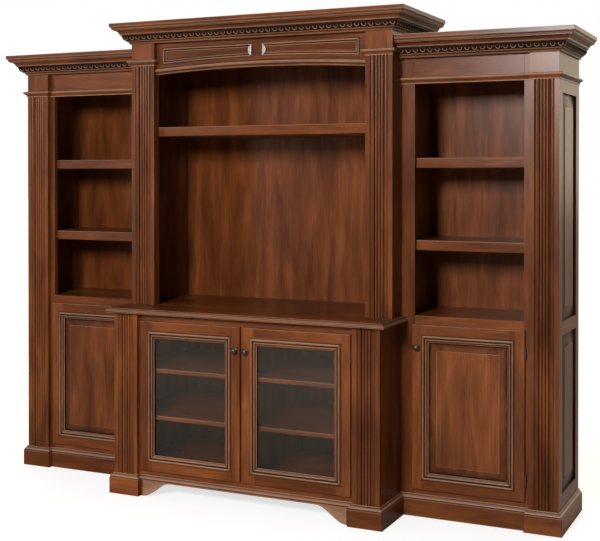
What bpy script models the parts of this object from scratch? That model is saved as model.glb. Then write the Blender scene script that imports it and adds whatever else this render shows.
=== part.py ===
"""Entertainment center: two shelf wings with panelled doors, and between them a hutch on a console.

X runs to the right, Y to the back and Z up, in metres. The origin is on the floor, under the
middle of the whole unit. Each wing is modelled once, on the right, and mirrored for the left.
"""

import math

import bmesh
import bpy
from mathutils import Matrix, Vector

# Heights above the floor
WING_HEIGHT = 2.023
CONSOLE_HEIGHT = 0.839
WING_RAIL_TOP = 0.845
WING_UPPER_SHELF_TOP = 1.510
WING_LOWER_SHELF_TOP = 1.162
HUTCH_SHELF_TOP = 1.658
CONSOLE_UPPER_SHELF_TOP = 0.568
CONSOLE_LOWER_SHELF_TOP = 0.3565
BOTTOM_RAIL_TOP = 0.121
PLINTH_HEIGHT = 0.093

# Widths and depths of the cabinets
CENTRE_WIDTH = 1.285
WING_WIDTH = 0.6715
WING_DEPTH = 0.3925
CONSOLE_PROJECTION = 0.1435
HUTCH_SIDE_REVEAL = 0.0145

# Boards
SIDE_THICKNESS = 0.020
PANELLED_SIDE_THICKNESS = 0.022
DECK_THICKNESS = 0.020
BACK_THICKNESS = 0.006
PARTITION_THICKNESS = 0.020
SHELF_THICKNESS = 0.043
CONSOLE_SHELF_THICKNESS = 0.0195
SHELF_EASE = 0.003

# Clearances
FIT_GAP = 0.0003
SHELF_END_GAP = 0.001
OVERLAP = 0.001
CUT_OVERRUN = 0.010
WELD = 0.00001

# Face frames and pilasters
FRAME_THICKNESS = 0.022
WING_INNER_STILE = 0.0595
WING_OUTER_REVEAL = 0.025
CONSOLE_REVEAL = 0.018
MULLION_WIDTH = 0.023
WING_MIDDLE_RAIL = 0.044
CONSOLE_TOP_RAIL = 0.042
CONSOLE_BOTTOM_RAIL = 0.048
PILASTER_THICKNESS = 0.021
PILASTER_WIDTH = 0.1215
PILASTER_MARGIN = 0.0195
COVE_WIDTH = 0.0215
COVE_DEPTH = 0.007
COVE_STEPS = 6
REED_COUNT = 3
REED_GROOVE_DEPTH = 0.005
REED_CREST = 0.001
REED_STEPS = 4

# Mouldings
CROWN_HEIGHT = 0.093
CROWN_OVERHANG = 0.075
CROWN_BODY = 0.045
CROWN_CLEARANCE = 0.018
WING_FRIEZE = 0.081
HUTCH_FRIEZE = 0.075
FRIEZE_MOULDING = 0.027
TRIM_OVERHANG = 0.0165
CONSOLE_TOP_THICKNESS = 0.0215
CONSOLE_TOP_OVERHANG = 0.030
TOP_EDGE_MOULDING = 0.008

# Arched apron under the console
APRON_RISE = 0.067
APRON_CURVE_WIDTH = 0.140
APRON_FOOT = 0.010
APRON_STEPS = 10

# Hutch valance
VALANCE_SETBACK = 0.025
VALANCE_THICKNESS = 0.018
VALANCE_DEPTH = 0.144
VALANCE_RISE = 0.019
VALANCE_STEPS = 16
ARCH_BEAD_INSET = 0.001
ARCH_BEAD_END = 0.002
ARCH_BEAD_HEIGHT = 0.026
ARCH_BEAD_PROUD = 0.008
OVERLAY_SIDE_MARGIN = 0.036
OVERLAY_TOP_MARGIN = 0.023
OVERLAY_BOTTOM_MARGIN = 0.046
OVERLAY_CENTRE_MARGIN = 0.024
OVERLAY_ARC_DEPTH = 0.017
OVERLAY_WIDTH = 0.012
OVERLAY_PROUD = 0.005
OVERLAY_ARC_STEPS = 6

# Panelled side of a wing
SIDE_FRONT_STILE = 0.062
SIDE_BACK_STILE = 0.0615
SIDE_TOP_RAIL = 0.052
SIDE_MIDDLE_RAIL = 0.055
SIDE_BOTTOM_RAIL = 0.057
SIDE_PANEL_SETBACK = 0.011
SIDE_PANEL_BEVEL = 0.054

# Doors
DOOR_OVERLAP = 0.007
DOOR_LIP_GAP = 0.002
DOOR_THICKNESS = 0.020
DOOR_SETBACK = 0.008
DOOR_MEMBER = 0.062
DOOR_MEMBER_SHOWING = 0.044
DOOR_EDGE_ROUND = 0.003
GROOVE_DEPTH = 0.006
PANEL_TONGUE = 0.006
PANEL_SETBACK = 0.009
PANEL_STEP = 0.002
PANEL_BEVEL = 0.032
BOLECTION_WIDTH = 0.028
GLASS_MOULDING_WIDTH = 0.029
BOLECTION_PROUD = 0.008
GLASS_THICKNESS = 0.004

# Knobs, hinges and shelf pins
WING_KNOB_DROP = 0.093
CONSOLE_KNOB_DROP = 0.100
KNOB_RADIUS = 0.014
KNOB_LENGTH = 0.026
KNOB_STEPS = 20
HINGE_HEIGHT = 0.050
HINGE_INSET = 0.090
HINGE_KNUCKLES = 3
HINGE_BARREL_RADIUS = 0.003
HINGE_BORE_RADIUS = 0.0016
HINGE_PIN_RADIUS = 0.0013
HINGE_LEAF = 0.0015
HINGE_FOOT = 0.0075
HINGE_SIDES = 10
PIN_RADIUS = 0.0025
PIN_REACH = 0.008
PIN_FRONT_INSET = 0.006
PIN_BACK_INSET = 0.020
PIN_SIDES = 8

# Places worked out from the sizes above
CENTRE_HALF = CENTRE_WIDTH / 2
HUTCH_PROJECTION = CROWN_OVERHANG + HUTCH_SIDE_REVEAL
CONSOLE_DEPTH = WING_DEPTH + HUTCH_PROJECTION + CONSOLE_PROJECTION
BACK_Y = (CONSOLE_DEPTH + CONSOLE_TOP_OVERHANG) / 2
WING_FRONT = BACK_Y - WING_DEPTH
HUTCH_FRONT = WING_FRONT - HUTCH_PROJECTION
CONSOLE_FRONT = HUTCH_FRONT - CONSOLE_PROJECTION
FRAME_SETBACK = PILASTER_THICKNESS + FIT_GAP
INSIDE_SETBACK = FRAME_SETBACK + FRAME_THICKNESS + FIT_GAP
BACK_BOARD_Y = BACK_Y - BACK_THICKNESS
WING_INNER = CENTRE_HALF + FIT_GAP
WING_OUTER = WING_INNER + WING_WIDTH
WING_SIDE = WING_OUTER - PANELLED_SIDE_THICKNESS
WING_PILASTER = WING_OUTER - PILASTER_WIDTH
CENTRE_PILASTER = CENTRE_HALF - PILASTER_WIDTH
CENTRE_INSIDE = CENTRE_HALF - SIDE_THICKNESS
WING_CASE_TOP = WING_HEIGHT - CROWN_HEIGHT
WING_BAND_TOP = WING_CASE_TOP - WING_FRIEZE
WING_BAY_TOP = WING_BAND_TOP - FRIEZE_MOULDING
HUTCH_CASE_TOP = WING_HEIGHT + CROWN_CLEARANCE
HUTCH_BAND_TOP = HUTCH_CASE_TOP - HUTCH_FRIEZE
CONSOLE_CASE_TOP = CONSOLE_HEIGHT - CONSOLE_TOP_THICKNESS
REED_WIDTH = (PILASTER_WIDTH - 2 * PILASTER_MARGIN - 2 * COVE_WIDTH) / REED_COUNT
WING_BAY_LEFT = WING_INNER + WING_INNER_STILE
WING_BAY_RIGHT = WING_PILASTER - WING_OUTER_REVEAL
CONSOLE_BAY_RIGHT = CENTRE_PILASTER - CONSOLE_REVEAL
CONSOLE_BAY_TOP = CONSOLE_CASE_TOP - CONSOLE_TOP_RAIL
WING_DOOR_TOP = WING_RAIL_TOP - WING_MIDDLE_RAIL

# Profiles: outward share of the overhang and upward share of the height, from the bottom up
CROWN_SHARES = [
    (0.00, 0.00), (0.09, 0.00), (0.12, 0.04), (0.09, 0.09), (0.17, 0.11), (0.21, 0.17),
    (0.29, 0.18), (0.38, 0.23), (0.45, 0.32), (0.48, 0.44), (0.58, 0.45), (0.61, 0.52),
    (0.67, 0.58), (0.76, 0.63), (0.83, 0.64), (0.88, 0.68), (0.87, 0.72), (0.94, 0.74),
    (0.97, 0.79), (0.95, 0.82), (1.00, 0.83), (1.00, 1.00),
]
BAND_SHARES = [
    (0.12, 0.00), (0.18, 0.12), (0.34, 0.36), (0.66, 0.55), (0.76, 0.57), (0.96, 0.66),
    (1.00, 0.80), (0.92, 0.94), (0.80, 1.00),
]
PLINTH_SHARES = [
    (1.00, 0.00), (1.00, 0.775), (0.90, 0.785), (0.92, 0.82), (0.74, 0.89), (0.42, 0.925),
    (0.34, 0.94), (0.30, 0.98), (0.16, 1.00),
]
TOP_EDGE_SHARES = [
    (0.80, 0.00), (1.00, 0.10), (1.00, 0.42), (0.80, 0.54), (0.62, 0.56), (0.58, 0.72),
    (0.34, 0.92), (0.00, 1.00),
]
BOLECTION_SHARES = [
    (1.00, -0.55), (0.80, 0.10), (0.60, 0.30), (0.42, 0.55), (0.36, 0.88), (0.24, 1.00),
    (0.10, 0.85), (0.00, 0.45), (0.00, 0.00),
]
ARCH_BEAD_SHARES = [
    (0.00, 0.25), (0.30, 0.40), (0.55, 0.60), (0.62, 0.95), (0.85, 1.00), (1.00, 0.50),
]
OVERLAY_SHARES = [(0.00, 0.60), (0.25, 1.00), (0.60, 0.80), (1.00, 0.30)]
KNOB_SHARES = [
    (0.00, 1.00), (0.45, 0.96), (0.82, 0.82), (1.00, 0.62), (0.88, 0.45), (0.52, 0.34),
    (0.40, 0.20), (0.62, 0.06), (0.62, 0.00), (0.00, 0.00),
]
EDGE_ROUND_SHARES = [(1.0, 0.0), (0.3, 0.3), (0.0, 1.0)]

# Colours of the materials: colour, roughness and metallic value
FINISHES = {
    "stained_wood": ((0.16, 0.050, 0.020), 0.38, 0.0),
    "smoked_glass": ((0.045, 0.035, 0.028), 0.08, 0.0),
    "antique_bronze": ((0.10, 0.075, 0.055), 0.40, 0.9),
}


def clear_scene():
    for item in list(bpy.data.objects):
        bpy.data.objects.remove(item, do_unlink=True)


def add_collection(name):
    collection = bpy.data.collections.new(name)
    bpy.context.scene.collection.children.link(collection)
    return collection


def make_material(look, node_name):
    colour, roughness, metallic = FINISHES[look]
    material = bpy.data.materials.new(f"{node_name}_{look}")
    material.use_nodes = True
    shader = material.node_tree.nodes["Principled BSDF"]
    shader.inputs["Base Color"].default_value = (*colour, 1.0)
    shader.inputs["Roughness"].default_value = roughness
    shader.inputs["Metallic"].default_value = metallic
    material.diffuse_color = (*colour, 1.0)
    return material


def face_outward(shape):
    """Makes the faces of a closed bmesh agree, and turns them out where it encloses less than nothing."""
    bmesh.ops.recalc_face_normals(shape, faces=shape.faces)
    if shape.calc_volume(signed=True) < 0:
        bmesh.ops.reverse_faces(shape, faces=shape.faces)


def mesh_object(name, shape, collection):
    """An object from a bmesh, which it uses up."""
    mesh = bpy.data.meshes.new(name)
    face_outward(shape)
    shape.to_mesh(mesh)
    shape.free()
    piece = bpy.data.objects.new(name, mesh)
    collection.objects.link(piece)
    return piece


def finish(name, shape, side=1, look="stained_wood", pivot=None):
    """Turns a bmesh into a named sub-part: side -1 mirrors it, and pivot is its joint's empty."""
    if side < 0:
        bmesh.ops.scale(shape, vec=(side, 1, 1), verts=shape.verts)
    if pivot is not None:
        bmesh.ops.translate(shape, vec=-pivot.location, verts=shape.verts)
    piece = mesh_object(name, shape, unit)
    piece.data.materials.append(make_material(look, name))
    piece.parent = pivot
    return piece


def add_box(shape, low, high):
    """A box between two corners."""
    low, high = Vector(low), Vector(high)
    place = Matrix.Translation((low + high) / 2) @ Matrix.Diagonal((*(high - low), 1.0))
    bmesh.ops.create_cube(shape, size=1, matrix=place)


def box_shape(low, high):
    shape = bmesh.new()
    add_box(shape, low, high)
    return shape


def add_rod(shape, radius, sides, start, end):
    """A cylinder between two points."""
    start, end = Vector(start), Vector(end)
    turn = (end - start).to_track_quat("Z", "Y").to_matrix().to_4x4()
    place = Matrix.Translation((start + end) / 2) @ turn
    bmesh.ops.create_cone(
        shape, cap_ends=True, segments=sides, radius1=radius, radius2=radius,
        depth=(end - start).length, matrix=place,
    )


def along_z(point, height):
    return Vector((point[0], point[1], height))


def along_y(point, place):
    return Vector((point[0], place, point[1]))


def outline_shape(splines, start, end, place=along_z):
    """A flat outline, its holes being further splines, thickened from start to end."""
    curve = bpy.data.curves.new("outline", "CURVE")
    curve.dimensions = "2D"
    curve.fill_mode = "BOTH"
    curve.extrude = abs(end - start) / 2
    for points in splines:
        spline = curve.splines.new("POLY")
        spline.points.add(len(points) - 1)
        spline.use_cyclic_u = True
        for knot, point in zip(spline.points, points):
            knot.co = (point[0], point[1], 0, 1)
    carrier = bpy.data.objects.new("outline", curve)
    unit.objects.link(carrier)
    sheet = evaluated_shape(carrier)
    bmesh.ops.remove_doubles(sheet, verts=sheet.verts, dist=WELD)
    middle = (start + end) / 2
    for corner in sheet.verts:
        corner.co = place(corner.co, middle + corner.co.z)
    return sheet


def evaluated_shape(piece):
    """The bmesh of an object as evaluated, and the object is removed."""
    graph = bpy.context.evaluated_depsgraph_get()
    mesh = bpy.data.meshes.new_from_object(piece.evaluated_get(graph))
    shape = bmesh.new()
    shape.from_mesh(mesh)
    bpy.data.objects.remove(piece)
    bpy.data.meshes.remove(mesh)
    return shape


def combine(shape, other, operation):
    """The Boolean of two bmeshes, both of which it uses up."""
    body = mesh_object("body", shape, unit)
    tool = mesh_object("cutter", other, cutters)
    tool.hide_render = True
    tool.display_type = "WIRE"
    step = body.modifiers.new("combine", "BOOLEAN")
    step.operation = operation
    step.solver = "EXACT"
    step.object = tool
    result = evaluated_shape(body)
    bpy.data.objects.remove(tool)
    return result


def mitre_steps(path, closed):
    """For each point of a path, the step that moves it outward by one, to the right of its way."""
    steps = []
    count = len(path)
    for index, point in enumerate(path):
        before = path[index - 1] if closed or index else None
        after = path[(index + 1) % count] if closed or index < count - 1 else None
        normals = []
        for start, end in ((before, point), (point, after)):
            if start is not None and end is not None:
                way = (Vector(end) - Vector(start)).normalized()
                normals.append(Vector((way.y, -way.x)))
        middle = sum(normals, Vector((0, 0))).normalized()
        steps.append(middle / middle.dot(normals[0]))
    return steps


def moulding_shape(profile, path, place=along_z, closed=False):
    """A moulding with mitred corners: a loft of sections, each stretched to its mitre.

    A profile point is how far it stands outward from the path, and how high it is.
    """
    shape = bmesh.new()
    rings = []
    for point, step in zip(path, mitre_steps(path, closed)):
        ring = []
        for outward, height in profile:
            spot = Vector(point) + step * outward
            ring.append(shape.verts.new(place(spot, height)))
        rings.append(ring)
    pairs = list(zip(rings, rings[1:]))
    if closed:
        pairs.append((rings[-1], rings[0]))
    size = len(profile)
    for first, second in pairs:
        for index in range(size):
            after = (index + 1) % size
            shape.faces.new((first[index], first[after], second[after], second[index]))
    if not closed:
        shape.faces.new(rings[0])
        shape.faces.new(list(reversed(rings[-1])))
    return shape


def scaled(shares, overhang, height, base=0.0):
    """A profile in real sizes from its shares."""
    return [(out * overhang, base + up * height) for out, up in shares]


def mirrored(path):
    """A path in plan reflected in the middle plane, which keeps its outward side."""
    return [(-x, y) for x, y in reversed(path)]


def pin_shape(face, way, front, back, shelf_top, thickness):
    """The two pins under one end of a shelf, let into the board whose inner face is at face."""
    pins = bmesh.new()
    height = shelf_top - thickness - FIT_GAP - PIN_RADIUS
    for depth in (front + PIN_FRONT_INSET, back - PIN_BACK_INSET):
        root = (face - way * OVERLAP, depth, height)
        add_rod(pins, PIN_RADIUS, PIN_SIDES, root, (face + way * PIN_REACH, depth, height))
    return pins


def shelf_shape(left, right, front, back, top, thickness):
    """A shelf with the two arrises of its front edge eased."""
    shape = box_shape((left, front, top - thickness), (right, back, top))
    middle = (front + back) / 2
    near = [edge for edge in shape.edges if all(spot.co.y < middle for spot in edge.verts)]
    level = [edge for edge in near if abs(edge.verts[0].co.x - edge.verts[1].co.x) > thickness]
    bmesh.ops.bevel(shape, geom=level, offset=SHELF_EASE, segments=2, affect="EDGES", profile=0.5)
    return shape


def raised_panel(left, right, bottom, top, face, setback, bevel, showing):
    """A raised panel for the opening from left to top, its field looking along -Y.

    setback is how far the panel's edge lies behind the frame's face, and showing is the flat
    margin between the frame's edge and the bevel.
    """
    reach = GROOVE_DEPTH - FIT_GAP
    front = face + setback
    low = (left - reach, front, bottom - reach)
    high = (right + reach, front + PANEL_TONGUE, top + reach)
    shape = box_shape(low, high)
    field = min(shape.faces, key=lambda flat: flat.calc_center_median().y)
    for thickness in (reach + showing, bevel):
        bmesh.ops.inset_region(shape, faces=[field], thickness=thickness, use_even_offset=True)
    bmesh.ops.translate(shape, vec=(0, PANEL_STEP - setback, 0), verts=field.verts)
    return shape


def cove_points(start, front):
    """A hollow across the pilaster's face, without its two ends."""
    spots = []
    for step in range(1, COVE_STEPS):
        share = step / COVE_STEPS
        spots.append((start + share * COVE_WIDTH, front + COVE_DEPTH * math.sin(math.pi * share)))
    return spots


def reed_points(start, front):
    """One reed from its left groove up over its round crest."""
    spots = []
    for step in range(REED_STEPS):
        share = step / REED_STEPS
        rise = (REED_GROOVE_DEPTH - REED_CREST) * math.sin(math.pi * share)
        spots.append((start + share * REED_WIDTH, front + REED_GROOVE_DEPTH - rise))
    return spots


def flute_outline(left, front):
    """Plan of what is cut from a pilaster's face: a cove, the space over the reeds, and a cove."""
    start = left + PILASTER_MARGIN
    end = left + PILASTER_WIDTH - PILASTER_MARGIN
    points = [(start, front - CUT_OVERRUN), (start, front)]
    points += cove_points(start, front)
    for reed in range(REED_COUNT):
        points += reed_points(start + COVE_WIDTH + reed * REED_WIDTH, front)
    points.append((end - COVE_WIDTH, front + REED_GROOVE_DEPTH))
    points += cove_points(end - COVE_WIDTH, front)
    points += [(end, front), (end, front - CUT_OVERRUN)]
    return points


def pilaster_shape(left, front, bottom, shaft_top, top):
    """A pilaster that is fluted up to shaft_top, and plain above."""
    block = box_shape((left, front, bottom), (left + PILASTER_WIDTH, front + PILASTER_THICKNESS, top))
    flutes = outline_shape([flute_outline(left, front)], bottom - CUT_OVERRUN, shaft_top)
    return combine(block, flutes, "DIFFERENCE")


def trim_profile(shares, height, base):
    """The section of a moulding that stands off the case by a fit gap."""
    profile = scaled(shares, TRIM_OVERHANG, height, base)
    return [(FIT_GAP, base)] + profile + [(FIT_GAP, base + height)]


def band_profile(base):
    """The section of a frieze moulding."""
    profile = scaled(BAND_SHARES, TRIM_OVERHANG, FRIEZE_MOULDING, base)
    return [(0, base)] + profile + [(0, base + FRIEZE_MOULDING)]


def crown_shape(base, path):
    """A crown on top of a case, with the body that lies behind its mouldings."""
    bottom = base + FIT_GAP
    top = base + CROWN_HEIGHT
    profile = [(-CROWN_BODY, bottom)]
    profile += scaled(CROWN_SHARES, CROWN_OVERHANG, top - bottom, bottom)
    profile.append((-CROWN_BODY, top))
    return moulding_shape(profile, path)


def build_wing_case(name, side):
    """The box of a wing, its panelled outer side and its two adjustable shelves."""
    front = WING_FRONT + INSIDE_SETBACK
    inside = WING_INNER + SIDE_THICKNESS
    right = WING_SIDE - FIT_GAP
    case = box_shape((WING_INNER, front, 0), (right, BACK_Y, WING_CASE_TOP))
    bays = bmesh.new()
    floors = (-CUT_OVERRUN, BOTTOM_RAIL_TOP, WING_RAIL_TOP)
    for low, above in zip(floors, (BOTTOM_RAIL_TOP, WING_RAIL_TOP, WING_CASE_TOP)):
        low_corner = (inside, front - CUT_OVERRUN, low)
        add_box(bays, low_corner, (right + CUT_OVERRUN, BACK_BOARD_Y, above - DECK_THICKNESS))
    case = combine(case, bays, "DIFFERENCE")
    outer = panelled_side()
    back = BACK_BOARD_Y - FIT_GAP
    for label, top in (("upper", WING_UPPER_SHELF_TOP), ("lower", WING_LOWER_SHELF_TOP)):
        ends = (inside + SHELF_END_GAP, WING_SIDE - SHELF_END_GAP)
        shelf = shelf_shape(*ends, front, back, top, SHELF_THICKNESS)
        finish(f"{name}_{label}_shelf", shelf, side)
        case = combine(case, pin_shape(inside, 1, front, back, top, SHELF_THICKNESS), "UNION")
        outer = combine(outer, pin_shape(WING_SIDE, -1, front, back, top, SHELF_THICKNESS), "UNION")
    finish(f"{name}_case", case, side)
    finish(f"{name}_outer_side", outer, side)


def panelled_side():
    """The outer side of the right wing: two raised panels that look along +X, flat on the inside."""
    depth = WING_DEPTH - FRAME_SETBACK
    near = SIDE_FRONT_STILE - FRAME_SETBACK
    far = depth - SIDE_BACK_STILE
    lower = (PLINTH_HEIGHT + SIDE_BOTTOM_RAIL, WING_RAIL_TOP - SIDE_MIDDLE_RAIL)
    upper = (WING_RAIL_TOP, WING_BAY_TOP - SIDE_TOP_RAIL)
    shape = box_shape((0, 0, 0), (depth, PANELLED_SIDE_THICKNESS, WING_CASE_TOP))
    for low, high in (lower, upper):
        shape = combine(shape, panel_recess(near, far, low, high), "DIFFERENCE")
    corner = Vector((WING_OUTER, WING_FRONT + FRAME_SETBACK, 0))
    turn = Matrix.Translation(corner) @ Matrix.Rotation(math.radians(90), 4, "Z")
    bmesh.ops.transform(shape, matrix=turn, verts=shape.verts)
    return shape


def panel_recess(left, right, bottom, top):
    """What is cut from a side's face, at zero, to leave a raised panel and its bevel."""
    shape = box_shape((left, -CUT_OVERRUN, bottom), (right, SIDE_PANEL_SETBACK, top))
    field = max(shape.faces, key=lambda flat: flat.calc_center_median().y)
    bmesh.ops.inset_region(shape, faces=[field], thickness=SIDE_PANEL_BEVEL, use_even_offset=True)
    bmesh.ops.translate(shape, vec=(0, PANEL_STEP - SIDE_PANEL_SETBACK, 0), verts=field.verts)
    return shape


def rectangle(left, right, bottom, top):
    return [(left, bottom), (right, bottom), (right, top), (left, top)]


def build_wing_front(name, side):
    """Face frame, pilaster with its frieze moulding, crown and plinth of a wing."""
    face = WING_FRONT + FRAME_SETBACK
    back = face + FRAME_THICKNESS
    splines = [
        rectangle(WING_INNER, WING_SIDE - FIT_GAP, 0, WING_CASE_TOP),
        rectangle(WING_BAY_LEFT, WING_BAY_RIGHT, BOTTOM_RAIL_TOP, WING_DOOR_TOP),
        rectangle(WING_BAY_LEFT, WING_BAY_RIGHT, WING_RAIL_TOP, WING_BAY_TOP),
    ]
    finish(f"{name}_face_frame", outline_shape(splines, face, back, along_y), side)
    band_base = WING_BAND_TOP - FRIEZE_MOULDING
    shaft_top = band_base + FRIEZE_MOULDING / 2
    pilaster = pilaster_shape(WING_PILASTER, WING_FRONT, 0, shaft_top, WING_CASE_TOP)
    line = [
        (WING_INNER, face - FIT_GAP), (WING_PILASTER + OVERLAP, face - FIT_GAP),
        (WING_PILASTER + OVERLAP, WING_FRONT + OVERLAP),
        (WING_OUTER + FIT_GAP, WING_FRONT + OVERLAP), (WING_OUTER + FIT_GAP, BACK_Y),
    ]
    band = moulding_shape(band_profile(band_base), line)
    finish(f"{name}_pilaster", combine(pilaster, band, "UNION"), side)
    path = [(WING_INNER, WING_FRONT), (WING_OUTER, WING_FRONT), (WING_OUTER, BACK_Y)]
    finish(f"{name}_crown", crown_shape(WING_CASE_TOP, path), side)
    wall = [(WING_INNER, face), (WING_PILASTER, face), (WING_PILASTER, WING_FRONT)] + path[1:]
    plinth = moulding_shape(trim_profile(PLINTH_SHARES, PLINTH_HEIGHT, 0), wall)
    finish(f"{name}_plinth", plinth, side)


def door_section(moulding_width, groove_low, groove_high):
    """The section of a door's frame with its raised moulding, swept round the door in one ring.

    It is measured inward from the door's edge, and outward from its face.
    """
    lip_back = DOOR_SETBACK - FRAME_SETBACK + FIT_GAP
    lip_in = DOOR_OVERLAP + DOOR_LIP_GAP
    deep = DOOR_MEMBER - GROOVE_DEPTH
    section = [(out * DOOR_EDGE_ROUND, -up * DOOR_EDGE_ROUND) for out, up in EDGE_ROUND_SHARES]
    section += [
        (0, lip_back), (lip_in, lip_back), (lip_in, -DOOR_THICKNESS), (DOOR_MEMBER, -DOOR_THICKNESS),
        (DOOR_MEMBER, -groove_high), (deep, -groove_high), (deep, -groove_low),
        (DOOR_MEMBER, -groove_low), (DOOR_MEMBER, -BOLECTION_PROUD),
        (DOOR_MEMBER_SHOWING + moulding_width, -BOLECTION_PROUD),
    ]
    for out, up in BOLECTION_SHARES:
        section.append((DOOR_MEMBER_SHOWING + out * moulding_width, up * BOLECTION_PROUD))
    return section


def build_door(name, side, opening, front, glazed):
    """A door that hangs at its right: frame, panel or glass, knob and hinges, on its axis's empty."""
    left, right = opening[0] - DOOR_OVERLAP, opening[1] + DOOR_OVERLAP
    bottom, top = opening[2] - DOOR_OVERLAP, opening[3] + DOOR_OVERLAP
    face = front + DOOR_SETBACK
    axis = (right + FIT_GAP + HINGE_BARREL_RADIUS, face + HINGE_BARREL_RADIUS)
    pivot = bpy.data.objects.new(f"{name}_axis", None)
    pivot.location = (side * axis[0], axis[1], bottom)
    unit.objects.link(pivot)
    thickness = GLASS_THICKNESS + FIT_GAP if glazed else PANEL_TONGUE
    width = GLASS_MOULDING_WIDTH if glazed else BOLECTION_WIDTH
    section = door_section(width, PANEL_SETBACK - FIT_GAP, PANEL_SETBACK + thickness + FIT_GAP)
    ring = [(left, bottom), (left, top), (right, top), (right, bottom)]
    frame = moulding_shape(section, ring, lambda spot, out: along_y(spot, face - out), closed=True)
    finish(f"{name}_frame", frame, side, pivot=pivot)
    inner = (left + DOOR_MEMBER, right - DOOR_MEMBER, bottom + DOOR_MEMBER, top - DOOR_MEMBER)
    if glazed:
        reach = GROOVE_DEPTH - FIT_GAP
        low = (inner[0] - reach, face + PANEL_SETBACK, inner[2] - reach)
        high = (inner[1] + reach, face + PANEL_SETBACK + GLASS_THICKNESS, inner[3] + reach)
        finish(f"{name}_glass", box_shape(low, high), side, "smoked_glass", pivot)
    else:
        showing = DOOR_MEMBER_SHOWING + BOLECTION_WIDTH - DOOR_MEMBER
        panel = raised_panel(*inner, face, PANEL_SETBACK, PANEL_BEVEL, showing)
        finish(f"{name}_panel", panel, side, pivot=pivot)
    knob_x = left + DOOR_MEMBER_SHOWING / 2
    knob_z = top - (CONSOLE_KNOB_DROP if glazed else WING_KNOB_DROP)
    place_knob(f"{name}_knob", Vector((side * knob_x, face - FIT_GAP, knob_z)), pivot)
    for label, level in (("upper", top - HINGE_INSET), ("lower", bottom + HINGE_INSET)):
        low = level - HINGE_HEIGHT / 2
        leaf = door_leaf(right, axis, low, front)
        finish(f"{name}_{label}_hinge_door_leaf", leaf, side, "antique_bronze", pivot)
        leaf = frame_leaf(axis, low, front)
        finish(f"{name}_{label}_hinge_frame_leaf", leaf, side, "antique_bronze")


def place_knob(name, spot, pivot):
    """A turned knob, its axis along -Y."""
    mesh = bpy.data.meshes.new(name)
    points = [(out * KNOB_RADIUS, 0, up * KNOB_LENGTH) for out, up in KNOB_SHARES]
    mesh.from_pydata(points, [(index, index + 1) for index in range(len(points) - 1)], [])
    knob = bpy.data.objects.new(name, mesh)
    unit.objects.link(knob)
    screw = knob.modifiers.new("turning", "SCREW")
    screw.steps = KNOB_STEPS
    screw.render_steps = KNOB_STEPS
    screw.use_merge_vertices = True
    screw.merge_threshold = WELD
    knob.data.materials.append(make_material("antique_bronze", name))
    knob.rotation_euler = (math.radians(90), 0, 0)
    knob.location = spot - pivot.location
    knob.parent = pivot


def circle_points(radius, centre):
    points = []
    for index in range(HINGE_SIDES):
        spot = math.tau * (index + 0.5) / HINGE_SIDES
        points.append((centre[0] + radius * math.cos(spot), centre[1] + radius * math.sin(spot)))
    return points


def door_leaf(edge, axis, low, front):
    """A hinge's leaf on a door's edge, with a knuckle at each end."""
    knuckle = HINGE_HEIGHT / HINGE_KNUCKLES
    upper = low + HINGE_HEIGHT - knuckle + FIT_GAP
    near = axis[1] + HINGE_BORE_RADIUS + FIT_GAP
    far = front + FRAME_SETBACK - FIT_GAP
    left, right = edge + FIT_GAP, edge + FIT_GAP + HINGE_LEAF
    leaf = box_shape((left, near, low), (right, far, low + HINGE_HEIGHT))
    slot_low = (left - CUT_OVERRUN, near - CUT_OVERRUN, low + knuckle - FIT_GAP)
    slot_high = (right + CUT_OVERRUN, near + HINGE_BARREL_RADIUS, upper)
    leaf = combine(leaf, box_shape(slot_low, slot_high), "DIFFERENCE")
    rings = [circle_points(HINGE_BARREL_RADIUS, axis), circle_points(HINGE_BORE_RADIUS, axis)]
    for start in (low, upper):
        ring = outline_shape(rings, start, start + knuckle - FIT_GAP)
        leaf = combine(leaf, ring, "UNION")
    return leaf


def frame_leaf(axis, low, front):
    """A hinge's leaf on the face frame, with the middle knuckle and the pin."""
    knuckle = HINGE_HEIGHT / HINGE_KNUCKLES
    plate_y = front + FRAME_SETBACK - FIT_GAP
    left = axis[0] - FIT_GAP
    leaf = box_shape((left, plate_y - HINGE_LEAF, low), (left + HINGE_FOOT, plate_y, low + HINGE_HEIGHT))
    neck_low = (left + OVERLAP / 2, axis[1], low + knuckle + FIT_GAP)
    neck_top = low + HINGE_HEIGHT - knuckle - FIT_GAP
    neck_high = (left + HINGE_LEAF, plate_y - HINGE_LEAF / 2, neck_top)
    leaf = combine(leaf, box_shape(neck_low, neck_high), "UNION")
    knuckle_low, knuckle_high = neck_low[2] - WELD, neck_high[2] + WELD
    barrel = outline_shape([circle_points(HINGE_BARREL_RADIUS, axis)], knuckle_low, knuckle_high)
    leaf = combine(leaf, barrel, "UNION")
    pin = outline_shape([circle_points(HINGE_PIN_RADIUS, axis)], low, low + HINGE_HEIGHT)
    return combine(leaf, pin, "UNION")


def build_wing(name, side):
    build_wing_case(name, side)
    build_wing_front(name, side)
    opening = (WING_BAY_LEFT, WING_BAY_RIGHT, BOTTOM_RAIL_TOP, WING_DOOR_TOP)
    build_door(f"{name}_door", side, opening, WING_FRONT, False)


def build_console():
    """The console: case, shelves, face frame, pilasters, plinth, top and its two glazed doors."""
    build_console_case()
    build_console_front()
    build_console_top()
    opening = (MULLION_WIDTH / 2, CONSOLE_BAY_RIGHT, BOTTOM_RAIL_TOP, CONSOLE_BAY_TOP)
    for name, side in (("left_console_door", -1), ("right_console_door", 1)):
        build_door(name, side, opening, CONSOLE_FRONT, True)


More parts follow.
